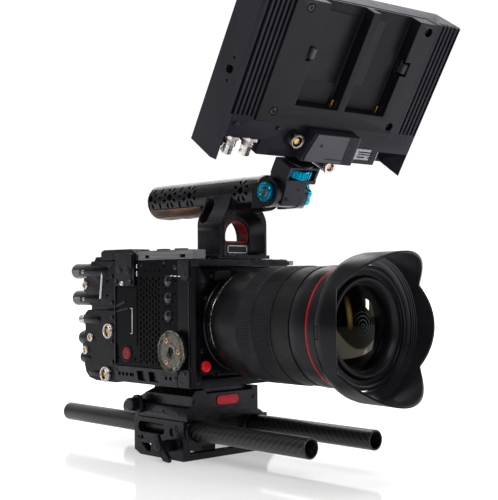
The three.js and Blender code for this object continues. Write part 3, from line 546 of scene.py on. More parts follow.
def lens_tubes():
    rear = [(27, 50.9), (33.2, 50.9), (34.3, 54.2), (35.2, 54.9), (38.2, 56.2), (40.3, 58.8), (41.3, 62.5),
            (41.9, 68), (42.3, 74), (42.3, 86.6), (41.9, 86.9), (39.6, 86.9), (39.6, 124.7), (27, 124.7)]
    Sketch(LENS_BLACK).turned(rear, LENS, 128).piece("lens_rear_tube", "lens_plastic", node="lens_barrel")
    ribbed_ring("zoom_ring", "zoom_grip", 87.2, 105.7, 170, 2.4)
    ribbed_ring("focus_ring", "focus_grip", 106.1, 124.5, 200, 1)
    control = [(39.8, 125), (42.9, 125), (43.2, 125.3), (43.2, 126.2), (43, 126.4), (43, 140.6),
               (43.2, 140.8), (43.2, 141.8), (42.9, 142.1), (39.8, 142.1)]
    grip = Sketch(KNURL).turned(control, LENS, 144)
    grip.piece("control_grip", "ribbed_rubber", node="control_ring", sharp=40)
    outside = [(27, 125.2), (39.4, 125.2), (39.4, 142.7), (42.3, 142.7), (42.7, 143), (42.9, 144.2),
               (43.6, 146.4), (43.6, 152), (43.4, 158.6), (43.3, 159.2), (43.3, 160.6), (43.7, 160.9),
               (43.9, 162.4), (43.9, 169.6), (43.2, 170), (43.2, 172.6), (43.6, 173), (43.2, 176.2),
               (42.6, 176.9), (41.2, 176.9)]
    threads = []
    for k in range(4):
        h = 176.6 - 0.62 * k
        threads += [(40.9, h), (40.2, h - 0.31)]
    inside = [(39.9, 174), (36.4, 174), (36, 174.6), (35.2, 176), (34.2, 176.5), (33, 176.4),
              (31, 174.6), (30, 172.6), (29.9, 168.7), (27, 168.7)]
    tube = Sketch(LENS_BLACK).turned(outside + threads + inside, LENS, 144)
    tube.piece("lens_front_tube", "lens_plastic", node="lens_front_barrel", sharp=28)


def lens_marks():
    ring = [(43.2, 159.3), (43.75, 159.35), (43.85, 159.9), (43.75, 160.45), (43.2, 160.5)]
    Sketch(RING_RED).turned(ring, LENS, 128).piece("lens_colour_ring", "red_satin", "lens", sharp=60)
    index = Sketch(RING_RED).screw((0, -60.5, AXIS_Z + 40.4), (0, 0.5, 0.87), 1.3, 0.5)
    index.piece("lens_mount_index", "red_satin", "lens")
    ticks = Sketch(SILVER)
    for k in range(11):
        turn = math.radians(-62 + 4 * k)
        out = Vector((math.sin(turn), 0, math.cos(turn)))
        spot = facing(Z * AXIS_Z + out * 40.75, out, Y)
        width = 1.1 if k % 3 else 0.7
        ticks.box((-width, 59.9, -0.3), (width, 60.7, 0.1), spot @ spin(math.pi))
    ticks.piece("lens_scale_ticks", "silver", "lens")


def lens_glass():
    """The front dome, and behind it the dark rings and elements that would show through a clear one."""
    profile = [(27.2, 168.4), (27, 167.6)]
    for k in range(5):
        r, h = 26.8 - 1.3 * k, 166.8 - 1.6 * k
        profile += [(r, h), (r - 0.2, h - 1), (r - 1.1, h - 1.1)]
    profile += [(20.4, 158.2), (20.4, 139.5), (26.9, 139.5)]
    Sketch(FLOCK).turned(profile, LENS, 96).piece("lens_baffles", "lens_plastic", "lens", sharp=25)
    second = [(0, 163.2), (4, 163.1), (8, 162.7), (12, 161.9), (16, 160.7), (20.2, 158.9), (20.2, 154),
              (0, 154)]
    Sketch(AMBER_GLASS).turned(second, LENS, 96).piece("second_element", "clear_glass", "lens", sharp=50)
    radius, apex, drop, back, steps = 29.5, 176.3, 7, 166.5, 14
    dome = [(radius * k / steps, apex - drop * (k / steps) ** 2) for k in range(steps + 1)]
    dome += [(radius, back + 1.2), (radius * 0.6, back + 0.4), (0, back)]
    front = Sketch(FRONT_GLASS).turned(dome, LENS, 96)
    front.piece("front_glass_dome", "clear_glass", node="front_element", sharp=60)
    rear = Sketch(AMBER_GLASS).turned([(0, 63.2), (23.8, 66.2), (23.8, 69), (12, 70), (0, 70.3)], LENS, 64)
    rear.piece("rear_glass_dome", "clear_glass", node="rear_element", sharp=50)


def hood_reach(turn):
    """How far forward the rim stands at an angle from the top, as in the CAD."""
    valley, notch, long_petal, short_petal = 188, 57, 24, 6.5
    turn = math.remainder(turn, 2 * math.pi)
    away = math.degrees(min(abs(turn), abs(math.pi - abs(turn))))
    if away < notch:
        return valley + long_petal * (1 - (away / notch) ** 2) ** 1.2
    return valley + short_petal * (1 - ((90 - away) / (90 - notch)) ** 2)


def petal_hood():
    """The hood's wall: fixed heights near the lens, then rows that stretch up to the petals' rim."""
    segments, steps, stretch = 216, 12, 180.2
    outer = [(46.2, 170.4), (48.3, 171.3), (49.9, 173.1), (51.1, 176), (51.9, stretch)]
    climb = [(51.9 + 0.5 * k / steps, k / steps) for k in range(1, steps)]
    lip = [(52.4, 0.985), (52.15, 1), (51.2, 1), (50.9, 0.985)]
    fall = [(50.1 + 0.8 * k / steps, k / steps) for k in range(steps - 1, 0, -1)]
    inner = [(50.1, stretch), (49.5, 180), (49.5, 178.8), (49, 178.6), (49, 177.4), (48.4, 177.2),
             (48.4, 175.6), (46.8, 175), (44.6, 174.9), (44.6, 170.7), (45.2, 170.4)]
    rows = [(r, h, 0) for r, h in outer] + [(r, stretch, t) for r, t in climb + lip + fall]
    rows += [(r, h, 0) for r, h in inner]
    shape = Sketch()
    loops = []
    for r, base, share in rows:
        loop = []
        for i in range(segments):
            turn = 2 * math.pi * i / segments
            h = base + share * (hood_reach(turn) - base)
            loop.append(shape.mesh.verts.new(Vector((r * math.sin(turn), -h, AXIS_Z + r * math.cos(turn)))))
        loops.append(loop)
    rim, collar = len(outer) + len(climb) + 2, len(loops) - 4
    for k, low in enumerate(loops):
        high = loops[(k + 1) % len(loops)]
        shape.use(HOOD if k < rim or k > collar else FLOCK)
        for i in range(segments):
            j = (i + 1) % segments
            shape.face((low[i], low[j], high[j], high[i]))
    window = Sketch().box((-60, -178, AXIS_Z - 6.3), (-46.9, -172.3, AXIS_Z + 3.1))
    shell = drilled(shape.data("hood_shell"), window)
    placed(shell, "hood_shell", "lens_plastic", node="lens_hood", sharp=50)
    slope = [(-49.25, -172.8), (-50.5, -174.9), (-51.45, -177.4), (-49.4, -177.4), (-48.15, -172.8)]
    button = Sketch(HOOD).prism(slope, AXIS_Z - 5.9, AXIS_Z + 2.7)
    button.piece("hood_button_cap", "black_plastic", node="hood_button", bevel=0.15)


# ---------------- camera body
def side_panel():
    tool = Sketch()
    for column in range(7):
        y = -9 + 3.85 * column
        for row in range(16):
            z = 74.4 + 4.35 * row + (2.175 if column % 2 else 0)
            if z < 141:
                tool.slab((y - 1.2, z - 1.5), (y + 1.2, z + 1.5), 0.5, -1.2, 1.3, SIDE, 1)
    for z in BUTTON_ZS:
        for k in range(8):
            turn = math.pi * k / 4 + 0.39
            if k not in (1, 2):
                spot = on_side(BUTTON_Y + 6.4 * math.cos(turn), z + 6.4 * math.sin(turn))
                tool.bore(0.95, -1.1, 1, spot, 12)
    for y, z, r in ((40, 92, 1.2), (21.8, 76, 1.3), (44.6, 76, 1.3), (22, 128, 1.2), (2, 145.5, 0.9),
                    (-4, 145.5, 0.9), (-10, 146, 1.4), (8, 145.5, 0.9), (-16, 149, 1.6), (-3, 151, 1.2),
                    (-28.6, 128, 1.1), (-28.6, 138, 1.1)):
        tool.bore(r, -1.1, 1, on_side(y, z), 18)
    # The skin takes the darker side paint: painted shade.
    refined("side_panel", "side_panel_skin", SHADED_SIDE_PAINT, "painted_black", 0.3, tool)
    pad = Sketch()
    for z in BUTTON_ZS:
        place = on_side(BUTTON_Y, z)
        rim = [(3.7, -0.1), (4.7, -0.1), (4.7, 0.3), (4.2, 0.75), (3.7, 0.6)]
        dome = [(0, -0.1), (3.6, -0.1), (3.6, 0.5), (3, 1), (1.6, 1.25), (0, 1.3)]
        pad.use(ANODISED).turned(rim, place, 32).use(SCREEN).turned(dome, place, 32)
    pad.piece("menu_buttons", "anodised_black", sharp=50)
    # The door pad takes the darker side paint too: painted shade.
    trim = Sketch(SHADED_SIDE_PAINT).slab((18.8, 86), (47, 133), 2, 0, 0.5, SIDE)
    trim.use(ANODISED).prism([(46.8, 71), (48, 71), (48, 150), (46.8, 150)], 0, 1.6, SIDE)
    trim.prism([(34, 120.5), (46, 116.5), (46, 118.3), (34, 122.3)], 0.4, 1.3, SIDE)
    trim.prism([(30, 115.5), (46, 112.6), (46, 114), (30, 116.9)], 0.4, 1.1, SIDE)
    trim.piece("side_trim", "anodised_black", bevel=0.25)
    place = on_side(*middle("record_button_side")[1:])
    bezel = [(5.7, -0.2), (7, -0.2), (7, 0.4), (6.6, 0.7), (5.9, 0.7), (5.7, 0.5)]
    Sketch(PAINTED).turned(bezel, place, 48).piece("record_button_bezel", "painted_black", sharp=40)
    dish = [(0, -0.4), (5.1, -0.4), (5.1, 0.5), (4.6, 0.9), (2.5, 0.62), (0, 0.55)]
    cap = Sketch(DARK_RED).turned(dish, place, 40)
    cap.piece("record_button_cap", "red_satin", node="record_button_side", sharp=60)


def printed_lines():
    """Plain pale lines and dashes where the real panel has its markings."""
    lines = Sketch(PALE)
    lines.prism([(66, 145.5), (66.6, 145.5), (69.6, 123), (69, 123)], -0.5, 1.3, SIDE)
    for y, z, width, height in ((25, 106, 0.5, 20), (26.2, 116, 2.4, 0.5), (26.2, 96, 2.4, 0.5),
                                (19.4, 149.4, 0.5, 3.2), (19.4, 143.6, 0.5, 4.4), (-24.6, 141.6, 2.2, 0.6),
                                (-29, 141.4, 3.2, 0.6), (-34.2, 141.2, 3, 0.6)):
        low, high = (y - width / 2, z - height / 2), (y + width / 2, z + height / 2)
        lines.slab(low, high, 0.2, -0.2, 0.75 if y > 22 else 0.3, SIDE, 2)
    lines.piece("panel_lines", "silver")


def corner_brackets():
    """Square-shouldered brackets at the front corners of both sides, and a thin bar between them."""
    upper = [(-46.5, 140.5), (-43.5, 138), (-39, 138), (-33, 144.5), (-33, 153.2), (-46.5, 153.2)]
    lower = [(-46.5, 57.6), (-33, 57.6), (-33, 66), (-38, 71.5), (-44.5, 71.5), (-46.5, 69.5)]
    bar = [(-46.2, 71.5), (-44.8, 71.5), (-44.8, 138), (-46.2, 138)]
    plate = Sketch(ANODISED)
    for side in (-1, 1):
        face = plane(Y, Z, X * side, X * side * -SIDE_X)
        for outline, top in ((upper, 1.2), (lower, 1.2), (bar, 0.7)):
            plate.prism(outline, -0.5, top, face)
    plate.piece("corner_brackets", "anodised_black", bevel=0.6, segments=3)


def side_lock():
    """The lock over the top of the side: a stepped cap with two domes and three heads below it."""
    cap = Sketch(ANODISED).slab((22.5, 147.8), (44.5, 159.5), 1.6, 1.6, 3, SIDE)
    cap.prism([(24.5, 135.2), (42.5, 135.2), (42.5, 148), (24.5, 148)], 1.6, 2.3, SIDE)
    for y, z, r in ((28.3, 146.6, 3.4), (39.4, 147.2, 2.6)):
        cap.turned([(0, 1.6), (r, 1.6), (r, 3), (r - 0.5, 3.5), (0, 3.5)], on_side(y, z), 28)
    cap.piece("lock_cap", "anodised_black", bevel=0.35)
    heads = Sketch(STEEL)
    for y, z, r in ((26.2, 136.6, 2.5), (44.6, 137.4, 2)):
        profile = [(0, 1.5), (r, 1.5), (r, 2.9), (r * 0.8, 3.5), (r * 0.45, 3.6), (0, 3.2)]
        heads.turned(profile, on_side(y, z), 28)
    button = [(0, 1.5), (2, 1.5), (2, 2.8), (1.5, 3.5), (0, 3.7)]
    heads.use(SILVER).turned(button, on_side(36.4, 135.8), 28)
    heads.piece("lock_heads", "steel_mount", sharp=40)


def body_screws():
    bolts = Sketch(STEEL)
    for y, z, off in ((-41.8, 141.8, 1.1), (-41.8, 67.5, 1.1), (-29, 148.2, 0), (-29.5, 63.4, 0.8),
                      (46, 66, 0.8), (44.8, 151, 0)):
        bolts.screw((SIDE_X - off, y, z), -X, 2, 0.55)
    for y, z, off in ((-37, 150, 1.1), (-37, 60.8, 1.1), (-15.5, 152, 0), (13.5, 150.5, 0)):
        bolts.screw((SIDE_X - off, y, z), -X, 1.25, 0.4)
    for side in (-1, 1):
        for x, z in ((38.8, 132.2), (33.9, 124.6), (38.6, 84.5), (28, 141)):
            bolts.screw((side * x, FRONT_Y, z), -Y, 1.9, 0.6)
    bolts.screw((-43.4, FRONT_Y, 141.5), -Y, 1.9, 0.6)
    for x in (43.4, -46.4):
        bolts.screw((x, LIP_Y, 61.5), -Y, 1.9, 0.6)
    for x in (-44, -32, -20, 20, 32, 44):
        bolts.screw((x, -48, 154.3), Z, 1.4, 0.35)
    for y in (-24, 4, 33, 44):
        bolts.screw((-SIDE_X, y, 140), X, 1.7, 0.5).screw((-SIDE_X, y, 64), X, 1.7, 0.5)
    bolts.piece("body_screws", "steel_mount", sharp=40)


def front_face():
    tool = Sketch()
    for side in (-1, 1):
        for x, z, r in ((43.5, 117, 1.5), (43.5, 96, 1.5), (24.5, 66.6, 1.3)):
            tool.bore(r, -6, 2.5, facing((side * x, FRONT_Y, z), -Y))
    refined("front_plate", "front_frame", PAINTED, "painted_black", 0.5, tool)
    refined("front_lip", "front_visor", ANODISED, "anodised_black", 0.8)
    trim = Sketch(ANODISED)
    collar = [(33.9, 45.8), (38.6, 45.8), (38.6, 47.6), (37.9, 48.3), (34.6, 48.3), (33.9, 47.6)]
    trim.turned(collar, LENS, 96)
    for low, high, radius, top in (((-27, 137.6), (-12, 145.4), 1.2, 48.6),
                                   ((12, 138.5), (26, 145.4), 1.2, 48), ((-47.8, 84), (-42.4, 90), 1, 48)):
        trim.slab(low, high, radius, -FRONT_Y, top, FRONT)
    trim.piece("front_trim", "anodised_black", bevel=0.3)
    mount = [(30.4, 44.4), (33.6, 44.4), (33.6, 49.7), (33.1, 50.1), (30.9, 50.1), (30.4, 49.7)]
    ring = Sketch(SILVER).turned(mount, LENS, 96)
    ring.piece("lens_mount_ring", "steel_mount", node="lens_mount", sharp=40)
    x, _, z = middle("record_button_front")
    cap = [(0, 44.2), (4.3, 44.2), (4.3, 49.7), (3.9, 50.3), (2.2, 50.5), (0, 50.55)]
    button = Sketch(RED).turned(cap, facing((x, 0, z), -Y), 40)
    button.piece("front_button_cap", "red_button", node="record_button_front", sharp=60)


def rails_and_cases():
    tool = Sketch()
    for y in (-24, -18.5, 24):
        tool.bore(1.5, -1.2, 1, on_side(y, 63.4, 0.8))
    refined("side_rail", "side_rail_bar", ANODISED, "anodised_black", 0.35, tool)
    refined("top_rail", "top_rail_bar", RAIL, "satin_rail", 0.5)
    refined("top_block", "top_block_case", ANODISED, "anodised_black", 0.7)
    refined("touchscreen_frame", "touchscreen_bezel", PLASTIC, "black_plastic", 0.8)
    for node, name, width in (("body_shell", "body_case", 0.6), ("battery_plate", "battery_plate_slab", 0.5),
                              ("rosette_block", "rosette_base", 0.4),
                              ("camera_plate", "camera_plate_slab", 0.4)):
        refined(node, name, ANODISED, "anodised_black", width)
    ear = Sketch(RAIL).box((50.5, -50, 149.6), (56.2, -42.5, 153.4))
    ear.piece("far_ear", "satin_rail", bevel=0.8)
    pads = Sketch(ANODISED)
    for y in (-30, -8):
        pads.slab((-48.6, y - 5), (-41.5, y + 5), 1.5, 161.3, 162.6)
    pads.slab((38.4, -13), (50, 16), 2, 154.2, 157.2).slab((-36, -30), (-29.8, 14), 1.5, 154.2, 156.6)
    pads.box((-50.3, 15, 151), (-40, 26, 156.5))
    pads.piece("top_pads", "anodised_black", bevel=0.4)
    # Flat dark discs of painted shade stand in for the sockets' openings.
    sockets = Sketch(SHADE_AND_PRINT_BLACK)
    for x in (-16, -6, 4, 14):
        sockets.bore(2.1, -0.1, 0.15, facing((x, 46.2, 156.8), Y), 20)
    sockets.piece("top_sockets", "anodised_black")


def rosette_face():
    """A toothed disc: its two crowned circles stay proud at each tooth and sink between the teeth."""
    teeth, crowned = 60, (15.35, 12.6)
    disc = Sketch(NICKEL)
    place = facing((-54.6, ROSETTE_Y, ROSETTE_Z), -X)
    profile = [(3.3, 0), (15.6, 0), (15.85, 0.4), (15.85, 1.9), (15.35, 2.95), (12.6, 2.5), (12.2, 2),
               (6.6, 1.95), (6.2, 2.3), (4.4, 2.3), (3.3, 1.8)]
    disc.turned(profile, place, teeth * 4)
    inverse = place.inverted()
    for v in disc.mesh.verts:
        spot = inverse @ v.co
        if any(abs(math.hypot(spot.x, spot.y) - r) < 0.01 for r in crowned):
            turn = math.atan2(spot.y, spot.x) * teeth / (2 * math.pi)
            if abs(turn - math.floor(turn + 0.5)) > 0.2:
                v.co += X * 0.75
    disc.piece("rosette_disc", "nickel", node="rosette", sharp=25)
    pins = Sketch(COPPER)
    for k in range(3):
        turn = 2 * math.pi * k / 3 + math.pi
        spot = (-56.55, ROSETTE_Y + 9.3 * math.cos(turn), ROSETTE_Z + 9.3 * math.sin(turn))
        pins.screw(spot, -X, 2, 0.8)
    pins.piece("rosette_screws", "nickel", sharp=40)
    bolt = Sketch(STEEL).screw((-54.5, ROSETTE_Y, ROSETTE_Z), -X, 3, 1)
    bolt.piece("rosette_bolt", "steel_mount", sharp=40)


# ---------------- ports
def port_modules():
    tool = Sketch()
    for z in (126, 138, 148):
        tool.bore(1.4, -2, 1, on_side(60, z))
    refined("port_module_upper", "upper_module_case", PAINTED, "painted_black", 0.7, tool, sharp=40)
    refined("port_module_lower", "lower_module_case", PAINTED, "painted_black", 0.8, sharp=40)
    trim = Sketch(PAINTED)
    for z, r, start, end, proud in ((146.3, 6.25, 58, 111.9, 1.6), (123.4, 6.25, 66, 111.9, 0.9),
                                    (106, 5.6, 66, 95.8, 1), (90, 6, 74, 103, 0.6),
                                    (73.6, 5.2, 80, 100.8, 0.4), (61.6, 5.6, 62, 88, 0.6)):
        dome = [(r * math.sin(a), start + r * (1 - math.cos(a))) for a in (0, 0.4, 0.8, 1.2, math.pi / 2)]
        dome += [(r, end - 2.4), (r - 0.5, end - 1), (r - 1.8, end), (0, end)]
        trim.turned(dome, facing((SIDE_X + r - proud, 0, z), Y), 40)
    trim.prism([(86.5, 117.4), (90.5, 119.5), (90.5, 150.5), (86.5, 153)], -9, -4, SIDE)
    trim.prism([(55.5, 153), (83, 153), (79, 157.9), (57.5, 158)], -9, -2.2, SIDE)
    trim.piece("module_trim", "painted_black", sharp=40)
    plates = Sketch(RAIL)
    for z, low in ((145.2, 1.55), (122.4, 0.85)):
        plates.slab((98.5, z - 2.2), (108.5, z + 2.2), 0.6, low, low + 0.2, SIDE)
    plates.use(SILVER)
    for z, off in ((145.6, 1.4), (122.8, 0.7)):
        plates.screw((SIDE_X - off, 93.6, z), -X, 1.5, 0.5)
    plates.piece("module_plates", "satin_rail", sharp=40)
    bolts = Sketch(STEEL)
    for y, z in ((53, 120.5), (53, 141.8), (52.6, 89), (52.6, 72), (52.6, 108.6)):
        bolts.screw((SIDE_X - 1.1, y, z), -X, 1.8, 0.6)
    bolts.piece("module_screws", "steel_mount", sharp=40)
    rings = Sketch()
    for y, z in ((91, 134.5), (91, 80), (83.5, 91)):
        profile = [(2, 0), (3.6, 0), (3.5, 1.3), (3, 1.8), (2.2, 1.8), (2, 1.4)]
        rings.use(SILVER).turned(profile, on_side(y, z), 32)
        rings.use(GOLD).peg(1.9, 0, 0.9, on_side(y, z), 20)
    rings.piece("module_ring_screws", "silver", sharp=40)
    pin_socket("power_port", "power_port_ring")
    pin_socket("control_port_low", "control_port_ring")
    bnc_socket("video_out_rear", "video_out_socket", facing((-45.4, 92.3, 105.6), Y), 12.2, 4.6)


def pin_socket(node, name):
    """A round six-pin socket on the side: two silver rings round a well floored with painted shade, and a
    gold core.
    """
    place = facing((-50.9, *middle(node)[1:]), -X)
    shell = Sketch(SILVER).turned([(4.9, 0), (6.3, 0), (6.3, 2), (6, 2.6), (5.3, 2.6), (4.9, 2.2)], place, 48)
    shell.turned([(4, 0), (4.75, 0), (4.75, 3.2), (4.5, 3.5), (4.2, 3.5), (4, 3.2)], place, 48)
    shell.use(SHADE_AND_PRINT_BLACK).peg(4.9, 0, 0.2, place, 32)
    shell.use(GOLD).turned([(0, 0.1), (2.7, 0.1), (2.7, 1.3), (2.4, 1.6), (0, 1.6)], place, 28)
    for k in range(6):
        shell.peg(0.35, 1.5, 1.85, place @ spin(math.pi * k / 3) @ Matrix.Translation(X * 1.6), 8)
    shell.piece(name, "silver", node=node, sharp=40)


def bnc_socket(node, name, place, length, radius):
    """A bayonet coaxial socket: nut, threaded neck, two lugs and a gold pin."""
    shell = Sketch(SILVER).bore(radius * 1.38, 0, 2.4, place, 6)
    neck = [(0, 0)]
    h = 2.2
    while h < length * 0.5:
        neck += [(radius * 0.98, h), (radius * 0.9, h + 0.3)]
        h += 0.6
    neck += [(radius * 0.86, h), (radius * 0.86, length - 0.4), (radius * 0.8, length),
             (radius * 0.68, length), (radius * 0.66, length - 3.5), (0, length - 3.5)]
    shell.turned(neck, place, 36)
    for side in (0, math.pi):
        shell.peg(0.9, 0, 1.1, place @ spin(side) @ facing((radius * 0.8, 0, length - 2.6), X), 12)
    pin = [(0, length - 3.6), (0.6, length - 3.6), (0.6, length - 1), (0, length - 0.7)]
    shell.use(GOLD).turned(pin, place, 12)
    shell.piece(name, "silver", node=node, sharp=40)


def plain_nodes():
    """The CAD's own meshes that stay as they are, and the battery."""
    for node, material in (("image_sensor", BOARD), ("main_board", BOARD), ("heat_sink", COPPER),
                           ("cooling_fan", PLASTIC), ("monitor_board", BOARD), ("display_panel", SCREEN),
                           ("cover_glass", SCREEN), ("touchscreen_glass", SCREEN)):
        data = frame["nodes"][node].data
        data.materials.clear()
        data.materials.append(material)
    refined("battery", "battery_case", PLASTIC, "cell_case", 1.2)
    label = Sketch(ANODISED).slab((-26, 66), (26, 142), 3, 111.3, 111.8, REAR)
    label.use(SCREEN).slab((-20, 120), (20, 134), 2, 111.7, 112, REAR)
    label.piece("battery_label", "cell_case", "battery_body")


# ---------------- handle and arm
def handle_cutters():
    """Wheel-shaped clusters and slots along both sides of the tube, holes on top and the leg's windows."""
    tool = Sketch()
    for tilt in (10, 170):
        out = Vector((math.cos(math.radians(tilt)), 0, math.sin(math.radians(tilt))))
        for y in (49.3, 23.9, -1.6, -62.8):
            place = facing((0, y, GRIP_Z), out)
            tool.bore(2.9, 9.5, 15.5, place, 20)
            for k in range(8):
                spoke = place @ spin(math.pi * (k + 0.5) / 4)
                tool.prism([(4.7, -0.8), (8.5, -1.5), (8.5, 1.5), (4.7, 0.8)], 9, 15.5, spoke)
        for y in (36.6, 11.2):
            place = facing((0, y, GRIP_Z), out)
            tool.bore(1.5, 10.5, 15.5, place, 14)
            for v in (-6, 6):
                tool.slab((-1.25, v - 2.5), (1.25, v + 2.5), 1.1, 9.6, 15.5, place, 3)
    for y in (44, 30, 16, 2, -12, -60, -68):
        tool.bore(2, 10, 15.5, facing((0, y, GRIP_Z), Z), 18)
    for side in (-1, 1):
        slope = facing((side * 19.2, -29.9, 191.5), (side * 0.86, 0.06, 0.5))
        tool.slab((-5.2, -10.5), (5.2, 11.5), 5, -8.5, 8, slope, 8)
    return tool


def handle_pieces():
    refined("top_handle", "handle_body", ANODISED, "anodised_black", 0.55, handle_cutters())
    refined("walnut_grip", "walnut_palm_rest", WALNUT, "walnut", 0.5, sharp=50)
    refined("eye_liner", "eye_liner_ring", DARK_RED, "red_satin", 0.3)
    badge = Sketch(ANODISED).slab((-10.3, 158.6), (10.3, 165.6), 1.2, 43.3, 43.9, FRONT)
    badge.use(PALE)
    for low, high in (((-9.3, 159.1), (9.3, 159.7)), ((-9.3, 164.5), (9.3, 165.1)),
                      ((-10.1, 159.6), (-9.5, 164.6)), ((9.5, 159.6), (10.1, 164.6))):
        badge.slab(low, high, 0.15, 43.8, 44, FRONT, 2)
    badge.use(ANODISED).peg(6.4, 57.6, 58, facing((0, 0, GRIP_Z), Y), 40)
    badge.piece("handle_trim", "anodised_black", bevel=0.2)
    bolts = Sketch(STEEL)
    for x in (-23.78, 23.78):
        for y in (-47, -29):
            bolts.screw((x, y, 157.5), Z, 1.9, 0.5)
    for side in (-1, 1):
        bolts.screw((side * 16.3, -77.5, 203.5), X * side, 1.8, 0.5)
    bolts.piece("handle_screws", "steel_mount", sharp=40)


def arm_pieces():
    near = facing((-16.6, HINGE_Y, HINGE_Z), -X)
    bolt = Sketch(CYAN).prism(scallops(7.45, 0.35, 14), 0, 2.6, near)
    bolt.turned([(4, 2.6), (6.6, 2.6), (6.2, 3.1), (4.4, 3.1)], near, 40)
    washer = [(2, 2.2), (3.9, 2.2), (3.9, 2.8), (3.3, 3.15), (2.4, 3.15), (2, 2.8)]
    bolt.use(NICKEL).turned(washer, near, 32)
    bolt.use(COPPER).bore(1.95, 2.2, 2.5, near, 6)
    bolt.use(STEEL).peg(3, -33, 0.2, near, 24)
    bolt.piece("tilt_bolt_head", "cyan_anodised", node="tilt_bolt", bevel=0.25)
    far = facing((16.6, HINGE_Y, HINGE_Z), X)
    nut = Sketch(CYAN).prism(scallops(10.95, 1.5, 8), 0, 3.5, far)
    nut.use(STEEL).turned([(0, 3.4), (3.4, 3.4), (3.2, 3.8), (0, 3.8)], far, 24)
    nut.piece("tilt_nut_wheel", "cyan_anodised", node="tilt_nut", bevel=0.4)
    refined("arm_body", "arm_block", GREY, "monitor_grey", 0.5)
    turn = ARM.to_3x3()
    holes = Sketch(STEEL)
    for x, z in ((3.4, 7.2), (-6.6, 0.5), (8, 1)):
        y = -12.6 + 3 * (z + 4) / 19.5
        holes.hole(ARM @ Vector((x, y, z)), turn @ Vector((0, -19.5, -3)), 1.3, 0.55, 0.2)
    holes.screw(ARM @ Vector((-10.2, 0, 18)), turn @ -X, 1.7, 0.45)
    holes.screw(ARM @ Vector((10.8, 0, 9)), turn @ X, 1.7, 0.45)
    holes.piece("arm_holes", "steel_mount", "arm", sharp=40)
    axle = ARM @ Matrix.Translation((4.2, 0, 0))
    wheel = Sketch(CYAN).prism(scallops(12.3, 1, 26), 17, 22.4, axle)
    wheel.turned([(3.7, 16.3), (11, 16.3), (11.4, 16.9), (11.4, 22.5), (11, 23.1), (3.7, 23.1)], axle, 64)
    wheel.piece("swivel_wheel_grip", "cyan_anodised", node="swivel_wheel", bevel=0.2)
    refined("swivel_foot", "swivel_foot_disc", ANODISED, "anodised_black", 0.3)


# ---------------- monitor
def monitor_cases():
    corners = [(x, z) for x in (-57.6, 54) for z in (41.8, 119)]
    tool = Sketch()
    for z, r in ((62, 3), (70.5, 1.2), (53.5, 1.2)):
        tool.bore(r, -6, 2, MONITOR @ facing((MON_SIDE, -17, z), -X), 20)
    refined("monitor_chassis", "monitor_case", GREY, "monitor_grey", 0.7, tool)
    tool = Sketch()
    for x, z in corners:
        tool.bore(3.3, -2.4, 2, MONITOR @ facing((x, -36, z), -Y), 24)
    refined("battery_bays", "battery_plate_moulding", PLASTIC, "black_plastic", 0.45, tool, ANODISED)
    bolts = Sketch(STEEL)
    turn = MONITOR.to_3x3()
    spots = [(x, -33.7, z, 2.7, 0.9) for x, z in corners]
    spots += [(x, MON_BACK, 28.5, 1.8, 0.5) for x in (-84, -46, 46, 84)]
    spots += [(x, -45, 24, 1.9, 0.5) for x in (-12, 14)]
    for x, y, z, radius, proud in spots:
        bolts.screw(MONITOR @ Vector((x, y, z)), turn @ -Y, radius, proud)
    for z in (106, 22):
        bolts.screw(MONITOR @ Vector((MON_SIDE, -17, z)), turn @ -X, 1.9, 0.4)
    bolts.piece("monitor_screws", "steel_mount", "monitor", sharp=40)


def monitor_bays():
    """What lies in the two battery bays: a rib, two blocks and two gold contacts each, and the latches."""
    contacts = Sketch()
    for left, right in ((-39.2, -0.3), (6.7, 45.1)):
        contacts.use(PLASTIC).box((left + 4, -25.7, 66), (right - 4, -25.1, 118), MONITOR)
        contacts.box((right - 1.2, -33, 84), (right, -27, 96), MONITOR)
        contacts.box((right - 1.2, -33, 104), (right, -27, 112), MONITOR)
        contacts.use(GOLD).box((right - 3.6, -29.6, 46), (right - 1.8, -26.4, 54.5), MONITOR)
        contacts.box((right - 13, -28.4, 46), (right - 12, -26.8, 48.8), MONITOR)
    contacts.piece("battery_contacts", "black_plastic", "monitor", bevel=0.25)
    for side, x in (("left", -42), ("right", 48)):
        tab = Sketch(LATCH).box((x - 1.9, -35.2, 84), (x + 1.9, -29.2, 92), MONITOR)
        tab.box((x - 1.5, -35.9, 84.4), (x + 1.5, -35.1, 91.6), MONITOR)
        tab.piece(f"latch_{side}_tab", "satin_rail", node=f"battery_latch_{side}", bevel=0.2)


